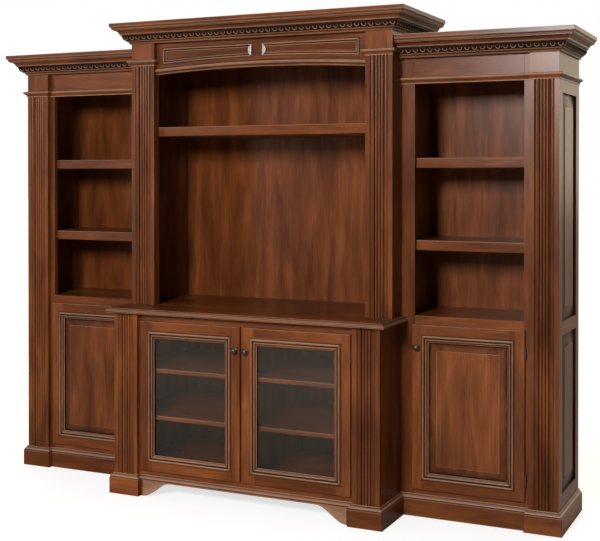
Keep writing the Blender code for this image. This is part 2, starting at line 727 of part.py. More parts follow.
def build_console_case():
    """The box of the console with its partition and pins, and its four shelves."""
    front = CONSOLE_FRONT + INSIDE_SETBACK
    half_partition = PARTITION_THICKNESS / 2
    top = CONSOLE_CASE_TOP - FIT_GAP
    case = box_shape((-CENTRE_HALF, CONSOLE_FRONT + FRAME_SETBACK, 0), (CENTRE_HALF, BACK_Y, top))
    bays = bmesh.new()
    width = CENTRE_INSIDE
    deck_low = BOTTOM_RAIL_TOP - DECK_THICKNESS
    add_box(bays, (-width, front - CUT_OVERRUN, -CUT_OVERRUN), (width, BACK_BOARD_Y, deck_low))
    for low, high in ((-width, -half_partition), (half_partition, width)):
        low_corner = (low, front - CUT_OVERRUN, BOTTOM_RAIL_TOP)
        add_box(bays, low_corner, (high, BACK_BOARD_Y, top + CUT_OVERRUN))
    case = combine(case, frame_rebate(CONSOLE_FRONT, 0, top), "DIFFERENCE")
    case = combine(case, bays, "DIFFERENCE")
    back = BACK_BOARD_Y - FIT_GAP
    for level, shelf_top in (("upper", CONSOLE_UPPER_SHELF_TOP), ("lower", CONSOLE_LOWER_SHELF_TOP)):
        for label, way in (("left", -1), ("right", 1)):
            near, far = half_partition + SHELF_END_GAP, width - SHELF_END_GAP
            shelf = shelf_shape(near, far, front, back, shelf_top, CONSOLE_SHELF_THICKNESS)
            finish(f"console_{label}_{level}_shelf", shelf, way)
            for face, inward in ((way * half_partition, way), (way * width, -way)):
                pins = pin_shape(face, inward, front, back, shelf_top, CONSOLE_SHELF_THICKNESS)
                case = combine(case, pins, "UNION")
    finish("console_case", case)


def frame_rebate(front, bottom, top):
    """What is cut from a centre case to leave room for the frame between its sides."""
    low = (-CENTRE_INSIDE, front - CUT_OVERRUN, bottom - CUT_OVERRUN)
    return box_shape(low, (CENTRE_INSIDE, front + INSIDE_SETBACK, top + CUT_OVERRUN))


def build_console_front():
    """Face frame, pilasters and the plinth with its arched apron."""
    face = CONSOLE_FRONT + FRAME_SETBACK
    outer = CENTRE_INSIDE - FIT_GAP
    top = CONSOLE_CASE_TOP - FIT_GAP
    foot = CONSOLE_BAY_RIGHT
    rail = BOTTOM_RAIL_TOP - CONSOLE_BOTTOM_RAIL
    half = [(foot, rail), (foot, 0), (outer, 0), (outer, top)]
    splines = [mirrored(half) + half]
    for low, high in ((-foot, -MULLION_WIDTH / 2), (MULLION_WIDTH / 2, foot)):
        splines.append(rectangle(low, high, BOTTOM_RAIL_TOP, CONSOLE_BAY_TOP))
    finish("console_face_frame", outline_shape(splines, face, face + FRAME_THICKNESS, along_y))
    for name, way in (("console_left_pilaster", -1), ("console_right_pilaster", 1)):
        pilaster = pilaster_shape(CENTRE_PILASTER, CONSOLE_FRONT, 0, top + CUT_OVERRUN, top)
        finish(name, pilaster, way)
    stop = WING_FRONT + FRAME_SETBACK - TRIM_OVERHANG - FIT_GAP
    half = [(CENTRE_PILASTER, face), (CENTRE_PILASTER, CONSOLE_FRONT)]
    half += [(CENTRE_HALF, CONSOLE_FRONT), (CENTRE_HALF, stop)]
    plinth = moulding_shape(trim_profile(PLINTH_SHARES, PLINTH_HEIGHT, 0), mirrored(half) + half)
    near, far = CONSOLE_FRONT - TRIM_OVERHANG - CUT_OVERRUN, face + CUT_OVERRUN
    arch = outline_shape([apron_outline()], near, far, along_y)
    finish("console_plinth", combine(plinth, arch, "DIFFERENCE"))


def apron_outline():
    """The opening under the console: straight, and curving down to a foot at each end."""
    outer = CENTRE_PILASTER - TRIM_OVERHANG - APRON_FOOT
    half = [(outer, -CUT_OVERRUN)]
    for step in range(APRON_STEPS + 1):
        share = step / APRON_STEPS
        height = APRON_RISE * (1 - math.cos(math.pi * share)) / 2
        half.append((outer - APRON_CURVE_WIDTH * share, height))
    return half + mirrored(half)


def build_console_top():
    """The console's top: a board whose free edges are moulded."""
    stop = WING_FRONT + FRAME_SETBACK - FIT_GAP
    blank = CONSOLE_TOP_OVERHANG + OVERLAP
    half = [
        (CENTRE_HALF + blank, CONSOLE_FRONT - blank), (CENTRE_HALF + blank, stop),
        (CENTRE_HALF, stop), (CENTRE_HALF, BACK_Y),
    ]
    board = outline_shape([mirrored(half) + half], CONSOLE_CASE_TOP, CONSOLE_HEIGHT)
    inset = CONSOLE_TOP_OVERHANG - TOP_EDGE_MOULDING
    edge = scaled(TOP_EDGE_SHARES, TOP_EDGE_MOULDING, CONSOLE_TOP_THICKNESS, CONSOLE_CASE_TOP)
    edge = [(inset + out, height) for out, height in edge]
    low, high = CONSOLE_CASE_TOP - CUT_OVERRUN, CONSOLE_HEIGHT + CUT_OVERRUN
    outside = CONSOLE_TOP_OVERHANG + CUT_OVERRUN
    air = [(outside, low), (edge[0][0], low)] + edge + [(edge[-1][0], high), (outside, high)]
    side = [(CENTRE_HALF, CONSOLE_FRONT), (CENTRE_HALF, stop + CUT_OVERRUN)]
    cutter = moulding_shape(air, mirrored(side) + side)
    finish("console_top", combine(board, cutter, "DIFFERENCE"))


def build_hutch():
    """The hutch: case, shelf, pilasters, valance and crown."""
    base = CONSOLE_HEIGHT + FIT_GAP
    front = HUTCH_FRONT + INSIDE_SETBACK
    back = BACK_BOARD_Y - FIT_GAP
    case_low = (-CENTRE_HALF, HUTCH_FRONT + FRAME_SETBACK, base)
    case = box_shape(case_low, (CENTRE_HALF, BACK_Y, HUTCH_CASE_TOP))
    case = combine(case, frame_rebate(HUTCH_FRONT, base, HUTCH_CASE_TOP), "DIFFERENCE")
    low = (-CENTRE_INSIDE, front - CUT_OVERRUN, base - CUT_OVERRUN)
    bay = box_shape(low, (CENTRE_INSIDE, BACK_BOARD_Y, HUTCH_CASE_TOP - DECK_THICKNESS))
    case = combine(case, bay, "DIFFERENCE")
    for way in (-1, 1):
        pins = pin_shape(way * CENTRE_INSIDE, -way, front, back, HUTCH_SHELF_TOP, SHELF_THICKNESS)
        case = combine(case, pins, "UNION")
    finish("hutch_case", case)
    end = CENTRE_INSIDE - SHELF_END_GAP
    finish("hutch_shelf", shelf_shape(-end, end, front, back, HUTCH_SHELF_TOP, SHELF_THICKNESS))
    for name, way in (("hutch_left_pilaster", -1), ("hutch_right_pilaster", 1)):
        finish(name, hutch_pilaster(base), way)
    finish("hutch_valance", valance_shape())
    half = [(CENTRE_HALF, HUTCH_FRONT), (CENTRE_HALF, BACK_Y)]
    finish("hutch_crown", crown_shape(HUTCH_CASE_TOP, mirrored(half) + half))


def hutch_pilaster(base):
    """The right pilaster, with the stile that backs it and the frieze moulding that wraps it."""
    band_base = HUTCH_BAND_TOP - FRIEZE_MOULDING
    shaft_top = band_base + FRIEZE_MOULDING / 2
    shape = pilaster_shape(CENTRE_PILASTER, HUTCH_FRONT, base, shaft_top, HUTCH_CASE_TOP)
    stile_low = (CENTRE_PILASTER + OVERLAP, HUTCH_FRONT + PILASTER_THICKNESS - OVERLAP, base + OVERLAP)
    stile_back = HUTCH_FRONT + FRAME_SETBACK + FRAME_THICKNESS
    stile = box_shape(stile_low, (CENTRE_INSIDE - FIT_GAP, stile_back, HUTCH_CASE_TOP - OVERLAP))
    shape = combine(shape, stile, "UNION")
    line = [
        (CENTRE_PILASTER + OVERLAP, HUTCH_FRONT + VALANCE_SETBACK - ARCH_BEAD_PROUD / 2),
        (CENTRE_PILASTER + OVERLAP, HUTCH_FRONT + OVERLAP),
        (CENTRE_HALF + FIT_GAP, HUTCH_FRONT + OVERLAP),
        (CENTRE_HALF + FIT_GAP, WING_FRONT - CROWN_OVERHANG - FIT_GAP),
    ]
    return combine(shape, moulding_shape(band_profile(band_base), line), "UNION")


def arch_points(start, end, lift, steps):
    """Points along the valance's lower edge from start to end, raised by lift; its top is at zero."""
    half = CENTRE_PILASTER - FIT_GAP
    spots = []
    for step in range(steps + 1):
        x = start + (end - start) * step / steps
        height = VALANCE_RISE * (1 - (x / half) ** 2) - VALANCE_DEPTH
        spots.append((x, height + lift))
    return spots


def valance_shape():
    """The arched board between the pilasters, with its bead and its two applied frames."""
    half = CENTRE_PILASTER - FIT_GAP
    face = HUTCH_FRONT + VALANCE_SETBACK
    outline = [(half, 0), (-half, 0)] + arch_points(-half, half, 0, VALANCE_STEPS)
    shape = outline_shape([outline], face, face + VALANCE_THICKNESS, along_y)

    def on_face(spot, height):
        return along_y(spot, face - height)

    bead = scaled(ARCH_BEAD_SHARES, ARCH_BEAD_HEIGHT, ARCH_BEAD_PROUD)
    bead = [(0, -OVERLAP)] + bead + [(ARCH_BEAD_HEIGHT, -OVERLAP)]
    end = half - ARCH_BEAD_END
    line = arch_points(end, -end, ARCH_BEAD_INSET, VALANCE_STEPS)
    shape = combine(shape, moulding_shape(bead, line, on_face), "UNION")
    overlay = scaled(OVERLAY_SHARES, OVERLAY_WIDTH, OVERLAY_PROUD)
    overlay = [(0, -OVERLAP)] + overlay + [(OVERLAY_WIDTH, -OVERLAP)]
    right = overlay_path(half)
    for path in (right, mirrored(right)):
        shape = combine(shape, moulding_shape(overlay, path, on_face, closed=True), "UNION")
    bmesh.ops.translate(shape, vec=(0, 0, HUTCH_CASE_TOP), verts=shape.verts)
    return shape


def overlay_path(half):
    """Outer edge of the right applied frame: its foot follows the arch, its inner end is hollow."""
    inner, outer = OVERLAY_CENTRE_MARGIN, half - OVERLAY_SIDE_MARGIN
    top = -OVERLAY_TOP_MARGIN
    foot = arch_points(outer, inner, OVERLAY_BOTTOM_MARGIN, VALANCE_STEPS // 2)
    bottom = foot[-1][1]
    hollow = []
    for step in range(1, OVERLAY_ARC_STEPS):
        share = step / OVERLAY_ARC_STEPS
        depth = OVERLAY_ARC_DEPTH * math.sin(math.pi * share)
        hollow.append((inner + depth, bottom + share * (top - bottom)))
    return [(outer, top)] + foot + hollow + [(inner, top)]


clear_scene()
unit = add_collection("entertainment_center")
cutters = add_collection("cutters")
build_wing("left_wing", -1)
build_wing("right_wing", 1)
build_console()
build_hutch()
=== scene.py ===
"""Entertainment center: fine mouldings, carving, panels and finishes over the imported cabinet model."""

import math

import bmesh
import bpy
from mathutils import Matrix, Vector


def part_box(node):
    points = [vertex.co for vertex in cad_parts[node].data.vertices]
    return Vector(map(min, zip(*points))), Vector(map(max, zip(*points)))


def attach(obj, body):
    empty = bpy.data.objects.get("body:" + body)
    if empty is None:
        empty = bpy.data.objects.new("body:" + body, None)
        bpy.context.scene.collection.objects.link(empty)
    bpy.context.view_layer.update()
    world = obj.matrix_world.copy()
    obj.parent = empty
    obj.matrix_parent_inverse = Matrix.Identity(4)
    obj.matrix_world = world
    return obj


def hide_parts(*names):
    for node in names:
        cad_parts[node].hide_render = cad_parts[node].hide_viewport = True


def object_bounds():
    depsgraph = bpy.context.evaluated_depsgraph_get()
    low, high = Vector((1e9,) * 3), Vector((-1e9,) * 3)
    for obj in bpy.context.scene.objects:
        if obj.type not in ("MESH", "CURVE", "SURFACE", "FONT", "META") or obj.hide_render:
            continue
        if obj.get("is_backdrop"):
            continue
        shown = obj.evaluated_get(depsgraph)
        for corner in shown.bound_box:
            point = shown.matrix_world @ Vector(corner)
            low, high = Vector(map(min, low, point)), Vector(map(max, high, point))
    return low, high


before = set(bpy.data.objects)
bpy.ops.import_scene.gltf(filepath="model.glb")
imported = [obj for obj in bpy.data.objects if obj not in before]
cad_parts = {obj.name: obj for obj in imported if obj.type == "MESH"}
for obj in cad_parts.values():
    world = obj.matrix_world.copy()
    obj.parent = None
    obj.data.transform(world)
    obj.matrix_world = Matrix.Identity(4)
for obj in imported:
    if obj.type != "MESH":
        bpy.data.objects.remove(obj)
cad_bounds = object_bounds()

# Clearances, and surface detail: glaze with painted shade in hollows, wear with painted highlights on
# arrises
FIT_GAP = 0.0003
EASE = 0.0012
JOINT_EASE = 0.0007
SHADE_GLAZE_REACH = 0.0032
SHADE_GLAZE_END = SHADE_GLAZE_REACH * 1.001
SHADE_GLAZE_FADE = SHADE_GLAZE_REACH * 1.1
LONG_STRETCH = 2.5 * SHADE_GLAZE_REACH
MIDDLE_STRETCH = 1.2 * SHADE_GLAZE_REACH
LONGEST_MITRE_SHARE = 0.3
MITRE_GLAZE = 0.6
LEAST_SHADE_GLAZE_TURN = math.radians(4)
FULL_SHADE_GLAZE_TURN = math.radians(50)
# Outward corners turned past these angles are paler: worn finish and a painted highlight
LEAST_RUB_HIGHLIGHT_TURN = math.radians(8)
FULL_RUB_HIGHLIGHT_TURN = math.radians(26)
KNIFE_TURN = math.radians(120)
RUB_AND_HIGHLIGHT = 0.8
# A pale line round a panel's field: wear and a painted highlight where its step catches light
FIELD_RUB_AND_HIGHLIGHT = 0.25
# The crescent's face is painted pale: a painted highlight
CRESCENT_HIGHLIGHT = -2.0
# A thin strip at a moulding's foot that paints glaze and shade onto the board beside it
SHADE_SKIRT_WIDTH = 0.0060
SHADE_SKIRT_RISE = 0.0003
WELD = 0.000001
ARC_STEP = math.radians(12)
SHARP_ANGLE = math.radians(32)
GRAIN_SHIFT = Vector((1.37, 0.59, 0.83))
GRAIN_SHIFTS = 97
TONE_STEP = 0.618

# Pilasters
PILASTER_WIDTH = 0.1215
PILASTER_THICKNESS = 0.021
PILASTER_MARGIN = 0.0195
COVE_WIDTH = 0.0215
COVE_BULGE = -0.55
REED_COUNT = 3
REED_GROOVE = 0.005
REED_BULGE = 0.72
FLUTE_LIP = 0.0012
BAND_HEIGHT = 0.027
BAND_OVERHANG = 0.0165

# Face frames, posts and shelves
WING_INNER_STILE = 0.0595
WING_OUTER_REVEAL = 0.025
CONSOLE_REVEAL = 0.018
CONSOLE_BOTTOM_RAIL = 0.048
MULLION_WIDTH = 0.023
SIDE_THICKNESS = 0.020
POST_GAP = 0.001
POST_DEPTH = 0.0433
SHELF_ROUND = 0.004
WING_FRIEZE = 0.081
HUTCH_FRIEZE = 0.075
WING_RAIL_TOP = 0.845

# Doors
DOOR_OVERLAP = 0.007
DOOR_LIP_GAP = 0.002
DOOR_SETBACK = 0.008
DOOR_THICKNESS = 0.020
DOOR_MEMBER = 0.062
DOOR_SHOWING = 0.044
DOOR_ROUND = 0.003
BOLECTION_WIDTH = 0.028
GLASS_MOULDING_WIDTH = 0.029
BOLECTION_PROUD = 0.008
PANEL_SETBACK = 0.009
PANEL_TONGUE = 0.006
PANEL_REACH = 0.005
PANEL_STEP = 0.002
PANEL_BEVEL = 0.032
BEVEL_END = 1.6
BEVEL_CURVE = 1.15
# Glaze with painted shade down the bevel: darkest at its foot by the moulding and again under the field's
# step
BEVEL_SHADE_GLAZE = ((0.10, 0.9), (0.22, 0.6), (0.60, 0.35), (0.90, 0.3), (0.97, 0.6))

# Panelled sides of the wings
SIDE_FRONT_STILE = 0.062
SIDE_BACK_STILE = 0.0615
SIDE_TOP_RAIL = 0.052
SIDE_MIDDLE_RAIL = 0.055
SIDE_BOTTOM_RAIL = 0.057
SIDE_PANEL_SETBACK = 0.011
SIDE_PANEL_BEVEL = 0.054
SIDE_PANEL_SHOWING = 0.0005
PANELLED_SIDE_THICKNESS = 0.022

# Crowns, plinths and the console's top
CROWN_OVERHANG = 0.075
CROWN_BODY = 0.045
PLINTH_HEIGHT = 0.093
TOP_OVERHANG = 0.030
TOP_MOULDING = 0.008
TOP_CORE = 0.020
PLANK_COUNT = 5
PLANK_EASE = 0.0001

# Egg-and-dart: an egg and a dart are centre, half sizes, rise, rows and columns, in shares of their band
EGG_PITCH = 0.032
# The carving's ground: glaze with painted shade, near black; the egg's tip holds less, a painted highlight
EGG_SHADE_GLAZE = 0.92
EGG_TIP_HIGHLIGHT_GLAZE = 0.3
EGG_TONE = 0.3
EGG_FOOT = 0.04
EGG_HEIGHT = 0.92
EGG_RISE = 0.9
EGG = ((0.0, 0.60), (0.20, 0.32), 0.26, 5, 12)
DART = ((-0.5, 0.42), (0.09, 0.42), 0.20, 3, 6)
SHELL_RADII = (0.22, 0.34)
SHELL_START = 0.10
SHELL_SWEEP = 1.20
SHELL_STEPS = 14
# The shell's ridge is rubbed pale: painted glints
SHELL_SECTION = ((0.0, 0.0, EGG_SHADE_GLAZE), (0.03, 0.17, -0.5), (0.10, 0.20, -0.5), (0.15, 0.0, EGG_SHADE_GLAZE))

# Hutch valance and the apron's arch
VALANCE_SETBACK = 0.025
VALANCE_THICKNESS = 0.018
VALANCE_DEPTH = 0.144
VALANCE_RISE = 0.019
VALANCE_TONE = -0.3
ARCH_STEPS = 40
ARCH_BEAD_LIFT = 0.001
ARCH_BEAD_HEIGHT = 0.026
ARCH_BEAD_PROUD = 0.008
OVERLAY_SIDE_MARGIN = 0.036
OVERLAY_TOP_MARGIN = 0.023
OVERLAY_BOTTOM_MARGIN = 0.046
OVERLAY_CENTRE_MARGIN = 0.027
OVERLAY_ARC_DEPTH = 0.017
OVERLAY_WIDTH = 0.016
OVERLAY_PROUD = 0.0078
OVERLAY_STEPS = 20
CRESCENT_EDGE = 0.0080
CRESCENT_PROUD = 0.0015
CRESCENT_TIP_SHARE = 0.02
CRESCENT_CURVE = 0.8
CRESCENT_INSET = 0.003
CRESCENT_ROWS = 16
CRESCENT_COLUMNS = 10
APRON_RISE = 0.067
APRON_CURVE_WIDTH = 0.140
APRON_FOOT = 0.010
APRON_CAP_GAP = 0.002
APRON_COLUMNS = 60

# Knobs
KNOB_RADIUS = 0.014
KNOB_LENGTH = 0.026
KNOB_STEPS = 40

# Profile points: outward share, upward share and, where an arc leads to the point, its bulge
CROWN_SHARES = [
    (0, 0), (0.085, 0), (0.085, 0.035, 0.8), (0.1, 0.045), (0.2, 0.12, -0.35), (0.225, 0.125),
    (0.225, 0.165, 0.9), (0.27, 0.175), (0.46, 0.43, 0.22), (0.5, 0.435), (0.5, 0.47, 0.9),
    (0.55, 0.475), (0.78, 0.65, -0.36), (0.82, 0.652), (0.82, 0.68), (0.87, 0.685),
    (0.87, 0.73, 0.7), (0.9, 0.735), (0.95, 0.8, -0.3), (0.95, 0.82), (1, 0.825), (1, 1),
]
EGG_BAND_SHARES = ((0.27, 0.175), (0.46, 0.43))
BAND_SHARES = [
    (0.1, 0), (0.16, 0.1), (0.16, 0.16), (0.66, 0.5, -0.3), (0.72, 0.54), (0.78, 0.56),
    (0.78, 0.94, 0.75), (0.7, 0.96), (0.7, 1),
]
PLINTH_SHARES = [
    (1, 0), (1, 0.77), (0.88, 0.785, 0.4), (0.88, 0.81), (0.5, 0.9, 0.35), (0.34, 0.945, -0.35),
    (0.34, 0.965), (0.14, 1, 0.4),
]
TOP_EDGE_SHARES = [
    (0.62, 0), (1, 0.14, 0.4), (1, 0.3), (0.62, 0.46, 0.4), (0.52, 0.47), (0.52, 0.58),
    (0.1, 0.86, -0.4), (0, 0.87), (0, 1),
]
BOLECTION_SHARES = [
    (1, -0.55), (0.96, -0.2), (0.72, 0.2, -0.35), (0.7, 0.45), (0.56, 0.55, 0.3), (0.52, 0.2),
    (0.36, 0.16), (0.33, 0.55), (0.03, 0.55, 0.8), (0, 0.25),
]
ARCH_BEAD_SHARES = [(0, 0.3), (0.18, 0.42, -0.3), (0.4, 0.46), (0.42, 0.8), (0.92, 0.8, -0.8), (1, 0.3)]
OVERLAY_SHARES = [
    (0, 0.4), (0.04, 0.62), (0.42, 0.62, -0.8), (0.46, 0.2), (0.68, 0.16), (0.72, 0.36),
    (0.96, 0.36, -0.35), (1, 0.1),
]
KNOB_SHARES = [
    (0, 1), (0.92, 0.76, -0.35), (0.92, 0.62, -0.8), (0.5, 0.4, 0.3), (0.4, 0.22, 0.15),
    (0.5, 0.14, 0.3), (0.72, 0.1), (0.78, 0.05, -0.6), (0.78, 0),
]

# Places taken from the frame
SIDES = (("left", -1), ("right", 1))
wing_frame_low, wing_frame_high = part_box("right_wing_face_frame")
outer_side_low, outer_side_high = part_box("right_wing_outer_side")
console_frame_low, console_frame_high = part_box("console_face_frame")
hutch_low, hutch_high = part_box("hutch_case")
console_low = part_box("console_case")[0]
console_top_low, console_top_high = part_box("console_top")
valance_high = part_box("hutch_valance")[1]
wing_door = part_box("right_wing_door_frame")
console_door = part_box("right_console_door_frame")
BACK_Y = hutch_high.y
WING_INNER = wing_frame_low.x
WING_OUTER = outer_side_high.x
WING_FACE = wing_frame_low.y
WING_FRONT = WING_FACE - PILASTER_THICKNESS - FIT_GAP
WING_TOP = wing_frame_high.z
WING_PILASTER = WING_OUTER - PILASTER_WIDTH
WING_BAND_TOP = WING_TOP - WING_FRIEZE
WING_BAY_TOP = WING_BAND_TOP - BAND_HEIGHT
WING_BAY_LEFT = WING_INNER + WING_INNER_STILE
WING_BAY_RIGHT = WING_PILASTER - WING_OUTER_REVEAL
WING_DOOR_TOP = wing_door[1].z - DOOR_OVERLAP
BOTTOM_RAIL_TOP = wing_door[0].z + DOOR_OVERLAP
CENTRE_HALF = hutch_high.x
CENTRE_PILASTER = CENTRE_HALF - PILASTER_WIDTH
CENTRE_INSIDE = CENTRE_HALF - SIDE_THICKNESS
HUTCH_TOP = hutch_high.z
HUTCH_BASE = hutch_low.z
HUTCH_FRONT = hutch_low.y - PILASTER_THICKNESS - FIT_GAP
HUTCH_BAND_TOP = HUTCH_TOP - HUTCH_FRIEZE
CONSOLE_FRONT = console_low.y - PILASTER_THICKNESS - FIT_GAP
CONSOLE_BAY_RIGHT = CENTRE_PILASTER - CONSOLE_REVEAL
CONSOLE_BAY_TOP = console_door[1].z - DOOR_OVERLAP


class Piece:
    """A mesh in the making. Each corner knows its place in its board, its glaze with painted shade or its
    wear with painted highlight, and its board's tone.
    """

    def __init__(self, seed):
        self.seed = seed
        self.points = []
        self.faces = []
        self.grain = []
        self.glaze_and_painted_light = []
        self.tone = []

    def add(self, points, faces, grain, glaze_and_painted_light=None, tone=None):
        start = len(self.points)
        self.seed += 1
        shift = GRAIN_SHIFT * (self.seed % GRAIN_SHIFTS)
        tone = (self.seed * TONE_STEP) % 1 if tone is None else tone
        self.points += [Vector(point) for point in points]
        self.faces += [[start + index for index in face] for face in faces]
        self.grain += [Vector(spot) + shift for spot in grain]
        self.glaze_and_painted_light += glaze_and_painted_light if glaze_and_painted_light else [0.0] * len(points)
        self.tone += [tone] * len(points)


def put_in_scene(name, data):
    made = bpy.data.objects.new(name, data)
    bpy.context.scene.collection.objects.link(made)
    return made


def finish_piece(name, piece, body, nodes, side=1, look=None):
    """Makes the object; side -1 mirrors it. It rides on body and stands for the CAD nodes."""
    mesh = bpy.data.meshes.new(name)
    mesh.from_pydata([(side * x, y, z) for x, y, z in piece.points], [], piece.faces)
    for label, kind, field, values in (
        ("grain", "FLOAT_VECTOR", "vector", [value for spot in piece.grain for value in spot]),
        ("glaze_and_painted_light", "FLOAT", "value", piece.glaze_and_painted_light),
        ("tone", "FLOAT", "value", piece.tone),
    ):
        mesh.attributes.new(label, kind, "POINT").data.foreach_set(field, values)
    shape = bmesh.new()
    shape.from_mesh(mesh)
    bmesh.ops.dissolve_degenerate(shape, dist=WELD, edges=shape.edges)
    bmesh.ops.recalc_face_normals(shape, faces=shape.faces)
    shape.to_mesh(mesh)
    shape.free()
    mesh.shade_smooth()
    mesh.set_sharp_from_angle(angle=SHARP_ANGLE)
    mesh.materials.append(look or WOOD)
    made = put_in_scene(name, mesh)
    made.modifiers.new("flat_faces_stay_flat", "WEIGHTED_NORMAL").keep_sharp = True
    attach(made, body)
    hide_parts(*nodes)


def along_z(point, height):
    return Vector((point[0], point[1], height))


def along_y(point, place):
    return Vector((point[0], place, point[1]))


def arc_points(start, end, bulge=0.0):
    """Points from start, left out, to end on an arc; the bulge is the tangent of a quarter of its angle."""
    start, end = Vector(start), Vector(end)
    if not bulge:
        return [end]
    angle = 4 * math.atan(bulge)
    chord = end - start
    left = Vector((-chord.y, chord.x))
    centre = (start + end) / 2 + left * (1 - bulge * bulge) / (4 * bulge)
    steps = max(2, math.ceil(abs(angle) / ARC_STEP))
    spoke = start - centre
    spots = []
    for step in range(1, steps + 1):
        turn = angle * step / steps
        spots.append(centre + Vector((
            spoke.x * math.cos(turn) - spoke.y * math.sin(turn),
            spoke.x * math.sin(turn) + spoke.y * math.cos(turn),
        )))
    return spots


def traced(shares, overhang, height, base=0.0):
    """A profile in real sizes from its shares, its arcs as short chords."""
    profile = []
    for out, up, *bulge in shares:
        end = Vector((out * overhang, base + up * height))
        profile += arc_points(profile[-1], end, *bulge) if profile else [end]
    return profile


def closed_section(shares, base, height, inner=0.0):
    """A band's section: its traced front, and a plain back at inner."""
    front = traced(shares, BAND_OVERHANG, height, base)
    return [Vector((inner, base))] + front + [Vector((inner, base + height))]


def shade_skirt(place, way=1):
    """The thin foot of a moulding, out onto its board, which carries glaze and painted shade beside the
    moulding until they fade.
    """
    return [Vector((place, SHADE_SKIRT_RISE)), Vector((place + way * SHADE_SKIRT_WIDTH, 0))]


def split_long(outline):
    """The outline with points added near the corners of its long stretches, for the glaze and painted shade
    to end at.
    """
    spots = []
    for index, start in enumerate(outline):
        start, end = Vector(start), Vector(outline[(index + 1) % len(outline)])
        length = (end - start).length
        spots.append(start)
        if length > LONG_STRETCH:
            spots.append(start.lerp(end, SHADE_GLAZE_REACH / length))
            spots.append(end.lerp(start, SHADE_GLAZE_REACH / length))
        elif length > MIDDLE_STRETCH:
            spots.append(start.lerp(end, 0.5))
    return spots


def glaze_and_painted_light_by_turn(outline):
    """How much glaze and painted shade each point of a closed outline holds: all in its inward corners,
    fading beside them.

    A value below zero says how far the finish is rubbed off an outward corner, and how strong the highlight
    painted on it is.
    """
    count = len(outline)
    area = sum(a.x * b.y - b.x * a.y for a, b in zip(outline, outline[1:] + outline[:1]))
    sign = 1 if area > 0 else -1
    steps = [(outline[(i + 1) % count] - outline[i]).length for i in range(count)]
    turns = []
    for i in range(count):
        before = outline[i] - outline[i - 1]
        after = outline[(i + 1) % count] - outline[i]
        turns.append(sign * math.atan2(before.x * after.y - before.y * after.x, before.dot(after)))
    held = [0.0] * count
    # Inward corners: glaze with painted shade, fading out beside them
    for i, turn in enumerate(turns):
        if turn > -LEAST_SHADE_GLAZE_TURN:
            continue
        strength = min(1.0, -turn / FULL_SHADE_GLAZE_TURN)
        for way in (1, -1):
            j, distance = i, 0.0
            while distance < SHADE_GLAZE_END:
                held[j] = max(held[j], strength * (1 - (distance / SHADE_GLAZE_FADE) ** 2))
                distance += steps[j if way > 0 else j - 1]
                j = (j + way) % count
    # Outward corners: wear and a painted highlight in place of their glaze
    for i, turn in enumerate(turns):
        if LEAST_RUB_HIGHLIGHT_TURN < turn < KNIFE_TURN:
            share = min(1.0, turn / FULL_RUB_HIGHLIGHT_TURN)
            held[i] = held[i] * (1 - share) - RUB_AND_HIGHLIGHT * share
    return held


def mitre_steps(path, closed=False):
    """For each point of a path, the step that moves it outward by one, to the right of its way."""
    steps = []
    count = len(path)
    for index, point in enumerate(path):
        before = path[index - 1] if closed or index else None
        after = path[(index + 1) % count] if closed or index < count - 1 else None
        normals = []
        for start, end in ((before, point), (point, after)):
            if start is not None and end is not None:
                way = (Vector(end) - Vector(start)).normalized()
                normals.append(Vector((way.y, -way.x)))
        middle = sum(normals, Vector((0, 0))).normalized()
        steps.append(middle / middle.dot(normals[0]))
    return steps


def ring_quads(count, size, start=0):
    """Quads between closed rings of corners that follow one another."""
    quads = []
    for first in range(start, start + (count - 1) * size, size):
        for index in range(size):
            after = (index + 1) % size
            quads.append((first + index, first + after, first + size + after, first + size + index))
    return quads


def fan(start, size, tip):
    """Triangles from a closed ring of corners to a tip."""
    return [(start + index, start + (index + 1) % size, tip) for index in range(size)]


def loft(rings):
    """Faces of a loft through rings of the same number of corners, with end caps."""
    size = len(rings[0])
    last = (len(rings) - 1) * size
    caps = [tuple(range(size)), tuple(range(last + size - 1, last - 1, -1))]
    return ring_quads(len(rings), size) + caps


def sweep(piece, profile, path, place=along_z, closed=False, shaded_band=(0, 0)):
    """A moulding along a path, each straight run a board of its own with mitred ends.

    The profile holds glaze and painted shade in its hollows, and everywhere between the two heights of the
    shaded band.
    """
    profile = split_long(profile)
    held = glaze_and_painted_light_by_turn(profile)
    # Between the heights of the shaded band: full glaze and painted shade
    held = [1.0 if shaded_band[0] < spot.y < shaded_band[1] else value for spot, value in zip(profile, held)]
    path = [Vector(point) for point in path]
    steps = mitre_steps(path, closed)
    count = len(path)
    for first in range(count if closed else count - 1):
        last = (first + 1) % count
        way = (path[last] - path[first]).normalized()
        ends = [[path[index] + steps[index] * spot.x for spot in profile] for index in (first, last)]
        mitred = (closed or first > 0, closed or last < count - 1)
        rings, grain, glaze_and_painted_light = [], [], []
        for share, extra in run_shares((path[last] - path[first]).length, mitred):
            ring = []
            for spot, other, (out, up) in zip(*ends, profile):
                between = spot.lerp(other, share)
                ring.append(place(between, up))
                grain.append(((between - path[first]).dot(way), out, up))
            rings.append(ring)
            glaze_and_painted_light += [min(1.0, value + extra) for value in held]
        piece.add(sum(rings, []), loft(rings), grain, glaze_and_painted_light)


def run_shares(length, mitred):
    """Where a run has rings, and how much glaze each gets from a mitre."""
    near = min(LONGEST_MITRE_SHARE, SHADE_GLAZE_REACH / length)
    start, end = [MITRE_GLAZE if mitre else 0.0 for mitre in mitred]
    return [(0.0, start), (near, 0.0), (1 - near, 0.0), (1.0, end)]


